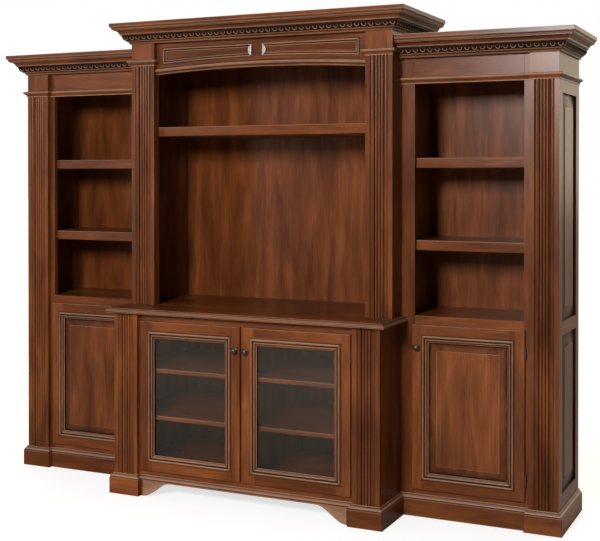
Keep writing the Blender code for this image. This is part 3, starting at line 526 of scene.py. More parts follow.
def bend(piece, profile, path, place):
    """A moulding along an open path, bent in one piece."""
    profile = split_long(profile)
    path = [Vector(point) for point in path]
    travelled = 0.0
    rings, grain = [], []
    for before, point, step in zip(path[:1] + path, path, mitre_steps(path)):
        travelled += (point - before).length
        rings.append([place(point + step * out, up) for out, up in profile])
        grain += [(travelled, out, up) for out, up in profile]
    piece.add(sum(rings, []), loft(rings), grain, glaze_and_painted_light_by_turn(profile) * len(rings))


def prism(piece, outline, start, end, place=along_z, axes="zxy", tone=None):
    """A flat outline carried from start to end; axes names the grain's three directions."""
    outline = split_long([Vector(point) for point in outline])
    # Only glaze with painted shade in the hollows, such as the flutes' grooves
    held = [max(0.0, value) for value in glaze_and_painted_light_by_turn(outline)]
    rings = [[place(point, level) for point in outline] for level in (start, end)]
    points = sum(rings, [])
    piece.add(points, loft(rings), [in_grain(point, axes) for point in points], held * 2, tone)


def in_grain(point, axes):
    return tuple(point["xyz".index(axis)] for axis in axes)


def block(low, high):
    """A bmesh box between two corners."""
    shape = bmesh.new()
    bmesh.ops.create_cube(shape, size=1)
    low, high = Vector(low), Vector(high)
    for corner in shape.verts:
        share = corner.co + Vector((0.5, 0.5, 0.5))
        corner.co = Vector([a + (b - a) * s for a, b, s in zip(low, high, share)])
    return shape


def round_edges(shape, edges, radius, segments):
    bmesh.ops.bevel(shape, geom=edges, offset=radius, segments=segments, affect="EDGES", profile=0.5)


def absorb(piece, shape, axes):
    """Adds a bmesh to a piece, and uses it up."""
    shape.verts.index_update()
    points = [corner.co.copy() for corner in shape.verts]
    faces = [[corner.index for corner in face.verts] for face in shape.faces]
    piece.add(points, faces, [in_grain(point, axes) for point in points])
    shape.free()


def board(piece, low, high, axes, ease=JOINT_EASE):
    """A board between two corners with eased arrises; axes names the grain's three directions."""
    shape = block(low, high)
    round_edges(shape, shape.edges, ease, 2)
    absorb(piece, shape, axes)


def rectangle(left, right, bottom, top):
    return [(left, bottom), (right, bottom), (right, top), (left, top)]


def mirrored(path):
    """A path in plan reflected in the middle plane, which keeps its outward side."""
    return [(-x, y) for x, y in reversed(path)]


def panel_profile(setback, bevel, showing, reach, back):
    """Insets, depths and glaze across a raised panel's margin, from its back edge to its field. The groove
    and the bevel's foot by the moulding get glaze with painted shade.
    """
    edge = setback - BEVEL_END * PANEL_STEP
    end = showing + bevel
    spots = [(-reach, back, 0.0), (-reach, setback, 1.0), (showing, setback, 1.0)]
    for share, glaze_and_painted_light in BEVEL_SHADE_GLAZE:
        spots.append((showing + bevel * share, setback - edge * share ** BEVEL_CURVE, glaze_and_painted_light))
    # The field's edge: wear and a painted highlight
    spots += [(end, setback - edge, 1.0), (end, PANEL_STEP + EASE / 2, -FIELD_RUB_AND_HIGHLIGHT)]
    return spots + [(end + EASE, PANEL_STEP, -FIELD_RUB_AND_HIGHLIGHT), (end + 3 * EASE, PANEL_STEP, 0.0)]


def raised_panel(piece, left, right, bottom, top, place, setback, bevel, showing, reach, back):
    """A raised panel: nested rings from its edge to its field, the field's face and a back."""
    rings, held = [], []
    for inset, depth, glaze_and_painted_light in panel_profile(setback, bevel, showing, reach, back):
        corners = rectangle(left + inset, right - inset, bottom + inset, top - inset)
        rings.append([place(corner, depth) for corner in corners])
        held += [glaze_and_painted_light] * 4
    spots = sum(rings, [])
    grain = [(spot.z, spot.x + spot.y, spot.x - spot.y) for spot in spots]
    piece.add(spots, loft(rings), grain, held)


def pilaster_outline(left, front):
    """Plan of a fluted shaft: a cove, three reeds and a cove between plain margins."""
    right, back = left + PILASTER_WIDTH, front + PILASTER_THICKNESS
    start, end = left + PILASTER_MARGIN, right - PILASTER_MARGIN
    reed = (end - start - 2 * COVE_WIDTH) / REED_COUNT
    lip, groove = front + FLUTE_LIP, front + REED_GROOVE
    moves = [(left, front), (start, front), (start + FLUTE_LIP, lip)]
    moves += [(start + COVE_WIDTH - FLUTE_LIP, lip, COVE_BULGE), (start + COVE_WIDTH, groove)]
    for index in range(REED_COUNT):
        near = start + COVE_WIDTH + index * reed
        moves.append((near + FLUTE_LIP, groove))
        moves += [(near + reed - FLUTE_LIP, groove, REED_BULGE), (near + reed, groove)]
    moves += [(end - COVE_WIDTH + FLUTE_LIP, lip), (end - FLUTE_LIP, lip, COVE_BULGE)]
    return traced(moves + [(end, front), (right, front), (right, back), (left, back)], 1.0, 1.0)


def pilaster(piece, left, front, bottom, shaft_top, top):
    """A fluted shaft and the plain block over it."""
    prism(piece, pilaster_outline(left, front), bottom, shaft_top)
    high = (left + PILASTER_WIDTH, front + PILASTER_THICKNESS, top)
    board(piece, (left, front, shaft_top), high, "zxy")


def add_dome(points, faces, centre, half, rise, rows, columns):
    """Adds a half egg on the band to the corners and faces."""
    start = len(points)
    for row in range(rows):
        tilt = math.pi / 2 * row / rows
        for column in range(columns):
            turn = math.tau * column / columns
            across = centre[0] + half[0] * math.cos(tilt) * math.cos(turn)
            up = centre[1] + half[1] * math.cos(tilt) * math.sin(turn)
            points.append((across, up, rise * math.sin(tilt), EGG_SHADE_GLAZE))
    points.append((*centre, rise, EGG_TIP_HIGHLIGHT_GLAZE))
    faces += ring_quads(rows, columns, start)
    faces += fan(start + (rows - 1) * columns, columns, len(points) - 1)


def egg_unit():
    """Corners and faces of one egg in its shell with a dart: width -0.5 to 0.5, height 0 to 1.

    A corner is its place across and up, its rise from the band, and its glaze: painted shade on the ground,
    painted highlight on tips and ridges.
    """
    points, faces = [], []
    add_dome(points, faces, *EGG)
    add_dome(points, faces, *DART)
    first, width = len(points), len(SHELL_SECTION)
    for ring in range(SHELL_STEPS + 1):
        turn = math.pi * (SHELL_START - SHELL_SWEEP * ring / SHELL_STEPS)
        for out, rise, held in SHELL_SECTION:
            across = (SHELL_RADII[0] + out) * math.cos(turn)
            up = EGG[0][1] + (SHELL_RADII[1] + out) * math.sin(turn)
            points.append((across, up, rise, held))
    for start in range(first, first + SHELL_STEPS * width, width):
        for corner in range(start, start + width - 1):
            faces.append((corner, corner + 1, corner + width + 1, corner + width))
    return points, faces


def carve_eggs(piece, base, height, path):
    """Egg-and-dart along the crown's carved band, one row on each run of the path."""
    unit_points, unit_faces = egg_unit()
    foot, head = [Vector((out * CROWN_OVERHANG, base + up * height)) for out, up in EGG_BAND_SHARES]
    tall = (head - foot).length
    out_way = (head - foot).normalized()
    proud = Vector((out_way.y, -out_way.x))
    middle_out = (foot.x + head.x) / 2
    steps = mitre_steps(path)
    for index in range(len(path) - 1):
        start, end = Vector(path[index]), Vector(path[index + 1])
        way = (end - start).normalized()
        right = Vector((way.y, -way.x))
        start = start + steps[index] * middle_out
        end = end + steps[index + 1] * middle_out
        length = (end - start).length
        count = max(1, round(length / EGG_PITCH))
        pitch = length / count
        for number in range(count):
            points, grain = [], []
            for across, up, rise, _ in unit_points:
                lift = out_way * (EGG_FOOT + EGG_HEIGHT * up) * tall
                section = foot + lift + proud * (rise * tall * EGG_RISE)
                along = min(max((number + 0.5 + across) * pitch, 0.0), length)
                spot = start + way * along + right * (section.x - middle_out)
                points.append((spot.x, spot.y, section.y))
                grain.append((spot.x + spot.y, section.x, section.y))
            piece.add(points, unit_faces, grain, [point[3] for point in unit_points], EGG_TONE)


def build_crown(name, path, side, seed):
    """A crown moulding with its egg-and-dart band."""
    low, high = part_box(f"{name}_crown")
    base, height = low.z, high.z - low.z
    piece = Piece(seed)
    profile = traced(CROWN_SHARES, CROWN_OVERHANG, height, base)
    profile = [Vector((-CROWN_BODY, base))] + profile + [Vector((-CROWN_BODY, base + height))]
    band = [base + up * height for out, up in EGG_BAND_SHARES]
    # The carved band's ground gets full glaze and painted shade
    sweep(piece, profile, path, shaded_band=(band[0] - EASE, band[1] + EASE))
    carve_eggs(piece, base, height, path)
    finish_piece(f"{name}_carved_crown", piece, "cabinet", [f"{name}_crown"], side)


def build_wing(name, side, seed):
    """The front, side, crown, plinth, door and shelves of one wing, built on the right."""
    build_wing_frame(name, side, seed)
    build_wing_pilaster(name, side, seed + 7)
    path = [(WING_INNER, WING_FRONT), (WING_OUTER, WING_FRONT), (WING_OUTER, BACK_Y)]
    build_crown(name, path, side, seed + 13)
    build_wing_plinth(name, side, seed + 19)
    build_outer_side(name, side, seed + 29)
    build_door(f"{name}_door", side, wing_door, WING_FRONT, False, seed + 37)
    for label in ("upper", "lower"):
        build_shelf(f"{name}_{label}_shelf", seed + 53)


def build_wing_frame(name, side, seed):
    piece = Piece(seed)
    face, back = wing_frame_low.y, wing_frame_high.y
    for left, right in ((WING_INNER, WING_BAY_LEFT), (WING_BAY_RIGHT, wing_frame_high.x)):
        board(piece, (left, face, 0), (right, back, WING_TOP), "zxy")
    for low, high in ((0, BOTTOM_RAIL_TOP), (WING_DOOR_TOP, WING_RAIL_TOP), (WING_BAY_TOP, WING_TOP)):
        board(piece, (WING_BAY_LEFT, face, low), (WING_BAY_RIGHT, back, high), "xzy")
    finish_piece(f"{name}_front_frame", piece, "cabinet", [f"{name}_face_frame"], side)


def wing_path(gap):
    """Plan of a wing's front, round its pilaster, and its outer side, gap clear of the boards."""
    face, outer = WING_FACE - gap, WING_OUTER + gap
    path = [(WING_INNER, face), (WING_PILASTER, face), (WING_PILASTER, WING_FRONT)]
    return path + [(outer, WING_FRONT), (outer, BACK_Y)]


def build_wing_pilaster(name, side, seed):
    piece = Piece(seed)
    base = WING_BAND_TOP - BAND_HEIGHT
    pilaster(piece, WING_PILASTER, WING_FRONT, 0, base + BAND_HEIGHT / 2, WING_TOP)
    sweep(piece, closed_section(BAND_SHARES, base, BAND_HEIGHT), wing_path(FIT_GAP))
    finish_piece(f"{name}_fluted_pilaster", piece, "cabinet", [f"{name}_pilaster"], side)


def build_wing_plinth(name, side, seed):
    piece = Piece(seed)
    sweep(piece, closed_section(PLINTH_SHARES, 0, PLINTH_HEIGHT, FIT_GAP), wing_path(0))
    finish_piece(f"{name}_moulded_plinth", piece, "cabinet", [f"{name}_plinth"], side)


def build_outer_side(name, side, seed):
    """The frame and two raised panels of a wing's outer side."""
    piece = Piece(seed)
    near, back = outer_side_low.y, outer_side_high.y
    front_stile = WING_FRONT + SIDE_FRONT_STILE
    back_stile = back - SIDE_BACK_STILE
    inner, outer = WING_OUTER - PANELLED_SIDE_THICKNESS, WING_OUTER
    for start, end in ((near, front_stile), (back_stile, back)):
        board(piece, (inner, start, 0), (outer, end, WING_TOP), "zyx")
    levels = [
        0, PLINTH_HEIGHT + SIDE_BOTTOM_RAIL, WING_RAIL_TOP - SIDE_MIDDLE_RAIL, WING_RAIL_TOP,
        WING_BAY_TOP - SIDE_TOP_RAIL, WING_TOP,
    ]
    for low, high in zip(levels[0::2], levels[1::2]):
        board(piece, (inner, front_stile, low), (outer, back_stile, high), "yzx")

    def place(corner, depth):
        return Vector((outer - depth, corner[0], corner[1]))

    for low, high in zip(levels[1:-1:2], levels[2:-1:2]):
        raised_panel(
            piece, front_stile, back_stile, low, high, place, SIDE_PANEL_SETBACK, SIDE_PANEL_BEVEL,
            SIDE_PANEL_SHOWING, 0, PANELLED_SIDE_THICKNESS,
        )
    finish_piece(f"{name}_panelled_side", piece, "cabinet", [f"{name}_outer_side"], side)


def build_door(name, side, box, front, glazed, seed):
    """A door that hangs at its right: stiles, rails, mitred moulding, panel or glass, and knob."""
    (left, _, bottom), (right, _, top) = box
    face, lip_back, rim = front + DOOR_SETBACK, front + PILASTER_THICKNESS, DOOR_MEMBER
    back = face + DOOR_THICKNESS

    def inside(inset):
        return left + inset, right - inset, bottom + inset, top - inset

    def before_face(spot, out):
        return along_y(spot, face - out)

    piece = Piece(seed)
    for low, high, axes in (
        ((left, face, bottom), (left + rim, lip_back, top), "zxy"),
        ((right - rim, face, bottom), (right, lip_back, top), "zxy"),
        ((left + rim, face, bottom), (right - rim, lip_back, bottom + rim), "xzy"),
        ((left + rim, face, top - rim), (right - rim, lip_back, top), "xzy"),
    ):
        door_board(piece, low, high, axes, inside(0))
    inset = DOOR_OVERLAP + DOOR_LIP_GAP
    step = rectangle(0, rim - inset, face - lip_back, face - back)
    step = [step[0], step[3], step[2], step[1]]
    sweep(piece, step, rectangle(*inside(inset))[::-1], before_face, closed=True)
    width = GLASS_MOULDING_WIDTH if glazed else BOLECTION_WIDTH
    profile = traced(BOLECTION_SHARES, width, BOLECTION_PROUD)
    start = rim - DOOR_SHOWING
    profile = [Vector((start, 0)), Vector((start, profile[0].y))] + profile + shade_skirt(0, -1)
    sweep(piece, profile, rectangle(*inside(DOOR_SHOWING))[::-1], before_face, closed=True)
    finish_piece(f"{name}_joined_frame", piece, name, [f"{name}_frame"], side)
    if not glazed:
        piece = Piece(seed + 5)
        raised_panel(
            piece, *inside(rim), lambda spot, depth: along_y(spot, face + depth), PANEL_SETBACK,
            PANEL_BEVEL, DOOR_SHOWING + width - rim, PANEL_REACH, PANEL_SETBACK + PANEL_TONGUE,
        )
        finish_piece(f"{name}_raised_panel", piece, name, [f"{name}_panel"], side)
    build_knob(name, seed)


def door_board(piece, low, high, axes, edges):
    """A stile or rail whose front arrises on the door's outer edge are rounded."""
    shape = block(low, high)
    left, right, bottom, top = edges
    rounded = []
    for edge in shape.edges:
        middle = (edge.verts[0].co + edge.verts[1].co) / 2
        gaps = (middle.x - left, middle.x - right, middle.z - bottom, middle.z - top)
        if abs(middle.y - low[1]) < FIT_GAP and min(abs(gap) for gap in gaps) < FIT_GAP:
            rounded.append(edge)
    round_edges(shape, rounded, DOOR_ROUND, 4)
    absorb(piece, shape, axes)


def build_knob(door, seed):
    """A turned knob on a door, its axis along -Y."""
    low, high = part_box(f"{door}_knob")
    centre = (low + high) / 2
    profile = traced(KNOB_SHARES, KNOB_RADIUS, KNOB_LENGTH)[1:]
    points = []
    for out, up in profile:
        for step in range(KNOB_STEPS):
            turn = math.tau * step / KNOB_STEPS
            x, z = centre.x + out * math.cos(turn), centre.z + out * math.sin(turn)
            points.append(Vector((x, high.y - up, z)))
    faces = ring_quads(len(profile), KNOB_STEPS) + fan(0, KNOB_STEPS, len(points))
    faces.append(tuple(range(len(points) - KNOB_STEPS, len(points))))
    points.append(Vector((centre.x, high.y - KNOB_LENGTH, centre.z)))
    piece = Piece(seed)
    piece.add(points, faces, points)
    finish_piece(f"{door}_turned_knob", piece, door, [f"{door}_knob"], 1, BRONZE)


def build_shelf(node, seed):
    """A shelf whose front arrises are rounded."""
    low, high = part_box(node)
    piece = Piece(seed + len(node))
    shape = block(low, high)
    front = []
    for edge in shape.edges:
        start, end = [corner.co for corner in edge.verts]
        at_front = max(abs(start.y - low.y), abs(end.y - low.y)) < FIT_GAP
        if at_front and abs(start.x - end.x) > FIT_GAP:
            front.append(edge)
    round_edges(shape, front, SHELF_ROUND, 5)
    absorb(piece, shape, "xyz")
    finish_piece(f"{node}_board", piece, "cabinet", [node])


def build_console(seed):
    """The console's front, top, plinth, its two glazed doors and its shelves."""
    face, back, top = console_frame_low.y, console_frame_high.y, console_frame_high.z
    reach, half = CONSOLE_BAY_RIGHT, MULLION_WIDTH / 2
    piece = Piece(seed)
    for side in (-1, 1):
        ends = sorted((side * reach, side * console_frame_high.x))
        board(piece, (ends[0], face, 0), (ends[1], back, top), "zxy")
    rail = BOTTOM_RAIL_TOP - CONSOLE_BOTTOM_RAIL
    board(piece, (-reach, face, rail), (reach, back, BOTTOM_RAIL_TOP), "xzy")
    board(piece, (-reach, face, CONSOLE_BAY_TOP), (reach, back, top), "xzy")
    board(piece, (-half, face, BOTTOM_RAIL_TOP), (half, back, CONSOLE_BAY_TOP), "zxy")
    finish_piece("console_front_frame", piece, "cabinet", ["console_face_frame"])
    for name, side in SIDES:
        piece = Piece(seed + 11 + side)
        prism(piece, pilaster_outline(CENTRE_PILASTER, CONSOLE_FRONT), 0, top)
        finish_piece(f"console_{name}_fluted_pilaster", piece, "cabinet", [f"console_{name}_pilaster"], side)
        build_door(f"{name}_console_door", side, console_door, CONSOLE_FRONT, True, seed + 40 + side)
        for label in ("upper", "lower"):
            build_shelf(f"console_{name}_{label}_shelf", seed + 60)
    build_console_plinth(seed + 70)
    build_console_top(seed + 80)


def build_console_plinth(seed):
    """The console's plinth: moulded blocks and returns, and an arched apron between them."""
    piece = Piece(seed)
    face = console_low.y
    near = CENTRE_PILASTER - BAND_OVERHANG - APRON_FOOT
    right = [
        (near, face), (CENTRE_PILASTER, face), (CENTRE_PILASTER, CONSOLE_FRONT),
        (CENTRE_HALF, CONSOLE_FRONT), (CENTRE_HALF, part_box("console_plinth")[1].y),
    ]
    for path in (right, mirrored(right)):
        sweep(piece, closed_section(PLINTH_SHARES, 0, PLINTH_HEIGHT, FIT_GAP), path)
    apron(piece, near, face)
    finish_piece("console_moulded_plinth", piece, "cabinet", ["console_plinth"])


def apron_height(x, outer):
    """Height of the arch over the floor at x: level, and curving down to a foot at each end."""
    share = min(1.0, max(0.0, (outer - abs(x)) / APRON_CURVE_WIDTH))
    return APRON_RISE * (1 - math.cos(math.pi * share)) / 2


def apron(piece, outer, face):
    """The arched stretch of the plinth: its moulded section cut off below by the arch."""
    profile = traced(PLINTH_SHARES, BAND_OVERHANG, PLINTH_HEIGHT)
    cap = [point for point in profile if point.y > APRON_RISE + APRON_CAP_GAP]
    cap.append(Vector((FIT_GAP, PLINTH_HEIGHT)))

    def section(low):
        return [Vector((FIT_GAP, low)), Vector((BAND_OVERHANG, low))] + cap

    rings, grain = [], []
    for column in range(APRON_COLUMNS + 1):
        share = column / APRON_COLUMNS
        x = outer * math.sin(math.pi / 2 * (2 * share - 1))
        spots = section(apron_height(x, outer))
        rings.append([Vector((x, face - out, up)) for out, up in spots])
        grain += [(x, up, out) for out, up in spots]
    piece.add(sum(rings, []), loft(rings), grain, glaze_and_painted_light_by_turn(section(0)) * len(rings))


def build_console_top(seed):
    """The console's top: planks whose free edges are moulded."""
    piece = Piece(seed)
    low, high = console_top_low, console_top_high
    stop = WING_FACE - FIT_GAP
    inset = TOP_OVERHANG - TOP_MOULDING
    core = inset - TOP_CORE
    profile = traced(TOP_EDGE_SHARES, TOP_MOULDING, high.z - low.z, low.z)
    profile = [Vector((inset + point.x, point.y)) for point in profile]
    profile = [Vector((core, low.z))] + profile + [Vector((core, high.z))]
    side = [(CENTRE_HALF, CONSOLE_FRONT), (CENTRE_HALF, stop)]
    sweep(piece, profile, mirrored(side) + side)
    reach, front = CENTRE_HALF + core, CONSOLE_FRONT - core
    width = (stop - front) / PLANK_COUNT
    for index in range(PLANK_COUNT):
        near = front + index * width
        board(piece, (-reach, near, low.z), (reach, near + width, high.z), "xyz", PLANK_EASE)
    board(piece, (-CENTRE_HALF, stop, low.z), (CENTRE_HALF, BACK_Y, high.z), "xyz", PLANK_EASE)
    finish_piece("console_moulded_top", piece, "cabinet", ["console_top"])


def build_hutch(seed):
    """The hutch's pilasters, valance, crown and shelf."""
    for name, side in SIDES:
        build_hutch_pilaster(name, side, seed + 5 * side)
    build_valance(seed + 20)
    half = [(CENTRE_HALF, HUTCH_FRONT), (CENTRE_HALF, BACK_Y)]
    build_crown("hutch", mirrored(half) + half, 1, seed + 30)
    build_shelf("hutch_shelf", seed + 40)


def build_hutch_pilaster(name, side, seed):
    """A pilaster of the hutch, the post behind it and the moulding that wraps its top."""
    piece = Piece(seed)
    base = HUTCH_BAND_TOP - BAND_HEIGHT
    pilaster(piece, CENTRE_PILASTER, HUTCH_FRONT, HUTCH_BASE, base + BAND_HEIGHT / 2, HUTCH_TOP)
    low = (CENTRE_PILASTER + POST_GAP, HUTCH_FRONT + PILASTER_THICKNESS, HUTCH_BASE)
    board(piece, low, (CENTRE_INSIDE - FIT_GAP, HUTCH_FRONT + POST_DEPTH, HUTCH_TOP - POST_GAP), "zxy")
    outer = CENTRE_HALF + FIT_GAP
    path = [
        (CENTRE_PILASTER, HUTCH_FRONT + VALANCE_SETBACK - ARCH_BEAD_PROUD / 2),
        (CENTRE_PILASTER, HUTCH_FRONT), (outer, HUTCH_FRONT),
        (outer, WING_FRONT - CROWN_OVERHANG - FIT_GAP),
    ]
    sweep(piece, closed_section(BAND_SHARES, base, BAND_HEIGHT), path)
    finish_piece(f"hutch_{name}_fluted_pilaster", piece, "cabinet", [f"hutch_{name}_pilaster"], side)


def arch_points(start, end, lift, steps):
    """Points along the valance's lower edge from start to end, raised by lift."""
    spots = []
    for step in range(steps + 1):
        x = start + (end - start) * step / steps
        height = HUTCH_TOP - VALANCE_DEPTH + VALANCE_RISE * (1 - (x / valance_high.x) ** 2)
        spots.append((x, height + lift))
    return spots


def build_valance(seed):
    """The arched board, the bead along its arch and its two applied frames."""
    piece = Piece(seed)
    half = valance_high.x
    face = HUTCH_FRONT + VALANCE_SETBACK
    outline = [(half, HUTCH_TOP), (-half, HUTCH_TOP)] + arch_points(-half, half, 0, ARCH_STEPS)
    prism(piece, outline, face, face + VALANCE_THICKNESS, along_y, "xzy", VALANCE_TONE)

    def on_face(side):
        return lambda spot, height: along_y((side * spot[0], spot[1]), face - height)

    bead = [Vector((0, 0))] + traced(ARCH_BEAD_SHARES, ARCH_BEAD_HEIGHT, ARCH_BEAD_PROUD)
    path = arch_points(half, -half, ARCH_BEAD_LIFT, ARCH_STEPS)
    bend(piece, bead + shade_skirt(ARCH_BEAD_HEIGHT), path, on_face(1))
    for side in (1, -1):
        applied_frame(piece, half, on_face(side))
    finish_piece("hutch_arched_valance", piece, "cabinet", ["hutch_valance"])


def applied_frame(piece, half, place):
    """Three sides of an applied frame, bent in one piece, and the crescent that is its inner end."""
    inner, outer = OVERLAY_CENTRE_MARGIN, half - OVERLAY_SIDE_MARGIN
    top = HUTCH_TOP - OVERLAY_TOP_MARGIN
    foot = arch_points(outer, inner, OVERLAY_BOTTOM_MARGIN, OVERLAY_STEPS)
    profile = traced(OVERLAY_SHARES, OVERLAY_WIDTH, OVERLAY_PROUD)
    profile = shade_skirt(0, -1)[::-1] + profile + shade_skirt(OVERLAY_WIDTH)
    bend(piece, profile, [(inner, top), (outer, top)] + foot, place)
    crescent(piece, inner, foot[-1][1], top, place)


def crescent(piece, inner, bottom, top, place):
    """A crescent between a straight chord at inner and an arc, over the ends of the frame's sides; its face
    has a painted pale highlight, its walls glaze with painted shade.
    """
    rings, grain, glaze_and_painted_light = [], [], []
    for row in range(CRESCENT_ROWS + 1):
        swell = max(CRESCENT_TIP_SHARE, 1 - (2 * row / CRESCENT_ROWS - 1) ** 2) ** CRESCENT_CURVE
        width = OVERLAY_ARC_DEPTH * swell
        z = bottom + CRESCENT_INSET + (top - bottom - 2 * CRESCENT_INSET) * row / CRESCENT_ROWS
        # Walls hold glaze with painted shade; the face a painted highlight
        section = [(0, 0, 1.0), (width, 0, 1.0), (width, CRESCENT_EDGE, 1.0)]
        for column in range(CRESCENT_COLUMNS, -1, -1):
            share = column / CRESCENT_COLUMNS
            rise = CRESCENT_EDGE + EASE / 2 + CRESCENT_PROUD * math.sin(math.pi * share) * swell
            section.append((width * share, rise, CRESCENT_HIGHLIGHT))
        section.append((0, CRESCENT_EDGE, 1.0))
        rings.append([place((inner + across, z), rise) for across, rise, _ in section])
        grain += [(z, across, rise) for across, rise, _ in section]
        glaze_and_painted_light += [held for _, _, held in section]
    piece.add(sum(rings, []), loft(rings), grain, glaze_and_painted_light)


# Materials: colours are linear, and a ramp's stops are places and colours or greys
WOOD_STOPS = [
    (0.28, (0.070, 0.0165, 0.0042)), (0.46, (0.118, 0.0315, 0.0080)),
    (0.58, (0.165, 0.0460, 0.0115)), (0.76, (0.245, 0.0760, 0.0200)),
]
PORE_STOPS = [(0.30, 0.80), (0.42, 1.0)]
CLOUD_STOPS = [(0.34, 0.68), (0.58, 1.0)]
# Upward-facing slopes are painted paler: a painted sheen of light from above
PAINTED_SHEEN_STOPS = [(0.22, 0.0), (0.50, 0.40), (0.93, 0.40), (0.98, 0.0)]
# The pale of worn arrises, which also paints their highlights
WORN_AND_HIGHLIGHT_COLOUR = (0.40, 0.25, 0.165)
PAINTED_SHEEN_COLOUR = (0.40, 0.27, 0.20)
# The pale grey of a painted highlight
PAINTED_HIGHLIGHT_COLOUR = (0.34, 0.31, 0.30)
# Dark glaze, which also paints shade into hollows and corners
GLAZE_AND_SHADE_COLOUR = (0.014, 0.0075, 0.005)
SPECULAR = 0.12
COAT = 0.08
BRONZE_STOPS = [(0.35, (0.060, 0.038, 0.026)), (0.65, (0.130, 0.090, 0.065))]
GLASS_STOPS = [(0.3, (0.94, 0.92, 0.89)), (0.7, (0.97, 0.95, 0.92))]
GLASS_GLOSS_COLOUR = (0.9, 0.78, 0.68, 1.0)
FLOOR_STOPS = [(0.0, 0.40), (1.0, 0.45)]
FLOOR_FADE = {"From Min": 1.6, "From Max": 4.0, "To Min": 0.72, "To Max": 1.0}
WHITE = (1.0, 1.0, 1.0)


class Nodes:
    """A node tree with short calls: add a node, set its sockets, link what is a socket."""

    def __init__(self, owner, shader="Principled BSDF"):
        owner.use_nodes = True
        self.owner = owner
        self.tree = owner.node_tree
        self.shader = self.tree.nodes[shader]

    def put(self, socket, value):
        if isinstance(value, bpy.types.NodeSocket):
            self.tree.links.new(value, socket)
        else:
            socket.default_value = value

    def add(self, kind, inputs=(), **settings):
        node = self.tree.nodes.new(kind)
        for key, value in settings.items():
            setattr(node, key, value)
        for key, value in dict(inputs).items():
            self.put(node.inputs[key], value)
        return node

    def maths(self, operation, first, second=0.0, clamp=False):
        inputs = {0: first, 1: second}
        return self.add("ShaderNodeMath", inputs, operation=operation, use_clamp=clamp).outputs[0]

    def times(self, first, second, clamp=False):
        return self.maths("MULTIPLY", first, second, clamp)

    def plus(self, first, second):
        return self.maths("ADD", first, second)

    def minus(self, first, second, clamp=False):
        return self.maths("SUBTRACT", first, second, clamp)

    def place(self):
        return self.add("ShaderNodeTexCoord").outputs["Object"]

    def upwardness(self, normal):
        """How far the surface faces up: the height of its normal, which is named."""
        normal = self.add("ShaderNodeNewGeometry").outputs[normal]
        return self.add("ShaderNodeSeparateXYZ", {0: normal}).outputs[2]

    def noise(self, vector, scale, detail=2.0, rough=0.5, warp=0.0):
        inputs = {"Vector": vector, "Scale": scale, "Detail": detail, "Roughness": rough, "Distortion": warp}
        return self.add("ShaderNodeTexNoise", inputs).outputs["Fac"]

    def streaky(self, grain, along, across, *settings):
        """Noise of its own scale along the grain and across it."""
        inputs = {"Vector": grain, "Scale": (along, across, across)}
        return self.noise(self.add("ShaderNodeMapping", inputs).outputs["Vector"], 1.0, *settings)

    def ramp(self, value, stops):
        node = self.add("ShaderNodeValToRGB", {"Fac": value})
        elements = node.color_ramp.elements
        while len(elements) < len(stops):
            elements.new(0.5)
        for element, (place, colour) in zip(elements, stops):
            element.position = place
            element.color = (*colour, 1.0)
        return node.outputs["Color"]

    def grey_ramp(self, value, stops):
        return self.ramp(value, [(place, (grey, grey, grey)) for place, grey in stops])

    def fade(self, value, span, **settings):
        return self.add("ShaderNodeMapRange", {"Value": value, **span}, **settings).outputs[0]

    def mix(self, factor, first, second, blend="MIX"):
        node = self.add("ShaderNodeMix", data_type="RGBA", blend_type=blend)
        for index, value in ((0, factor), (6, first), (7, second)):
            self.put(node.inputs[index], (*value, 1.0) if isinstance(value, tuple) else value)
        return node.outputs[2]

    def bump(self, height, strength, distance):
        inputs = {"Height": height, "Strength": strength, "Distance": distance}
        return self.add("ShaderNodeBump", inputs).outputs["Normal"]

    def finish(self, **inputs):
        for key, value in inputs.items():
            self.put(self.shader.inputs[key.replace("_", " ")], value)
        return self.owner


def wood_material(name, dressed):
    """Stained wood. Dressed pieces carry their grain, their tone, and glaze with painted shade and painted
    highlights; carcase parts use their place.
    """
    nodes = Nodes(bpy.data.materials.new(name))
    if dressed:
        grain = nodes.add("ShaderNodeAttribute", attribute_name="grain").outputs["Vector"]
        tone = nodes.add("ShaderNodeAttribute", attribute_name="tone").outputs["Fac"]
    else:
        grain = carcase_grain(nodes)
        tone = nodes.streaky(grain, 0.2, 1.5, 0.0)
    figure = nodes.streaky(grain, 3.0, 14.0, 3.0, 0.55, 0.6)
    streaks = nodes.streaky(grain, 6.0, 160.0, 3.0, 0.6)
    pores = nodes.streaky(grain, 60.0, 1400.0, 1.0)
    clouds = nodes.streaky(grain, 2.4, 6.5, 3.0, 0.55, 0.3)
    rings = nodes.plus(nodes.times(figure, 0.62), nodes.times(streaks, 0.38))
    rings = nodes.plus(rings, nodes.times(nodes.minus(tone, 0.5), 0.16))
    colour = nodes.ramp(rings, WOOD_STOPS)
    colour = nodes.mix(1.0, colour, nodes.grey_ramp(pores, PORE_STOPS), "MULTIPLY")
    colour = nodes.mix(1.0, colour, nodes.grey_ramp(clouds, CLOUD_STOPS), "MULTIPLY")
    specular, coat = SPECULAR, COAT
    if dressed:
        colour, shine = wear_glaze_and_painted_light(nodes, colour, grain)
        specular, coat = nodes.times(shine, SPECULAR), nodes.times(shine, COAT)
    roughness = nodes.plus(nodes.plus(0.21, nodes.times(figure, 0.10)), nodes.times(streaks, 0.08))
    bump = nodes.bump(nodes.plus(pores, streaks), 0.12, 0.0003)
    nodes.finish(Base_Color=colour, Roughness=roughness, Normal=bump)
    return nodes.finish(Specular_IOR_Level=specular, Coat_Weight=coat, Coat_Roughness=0.22)


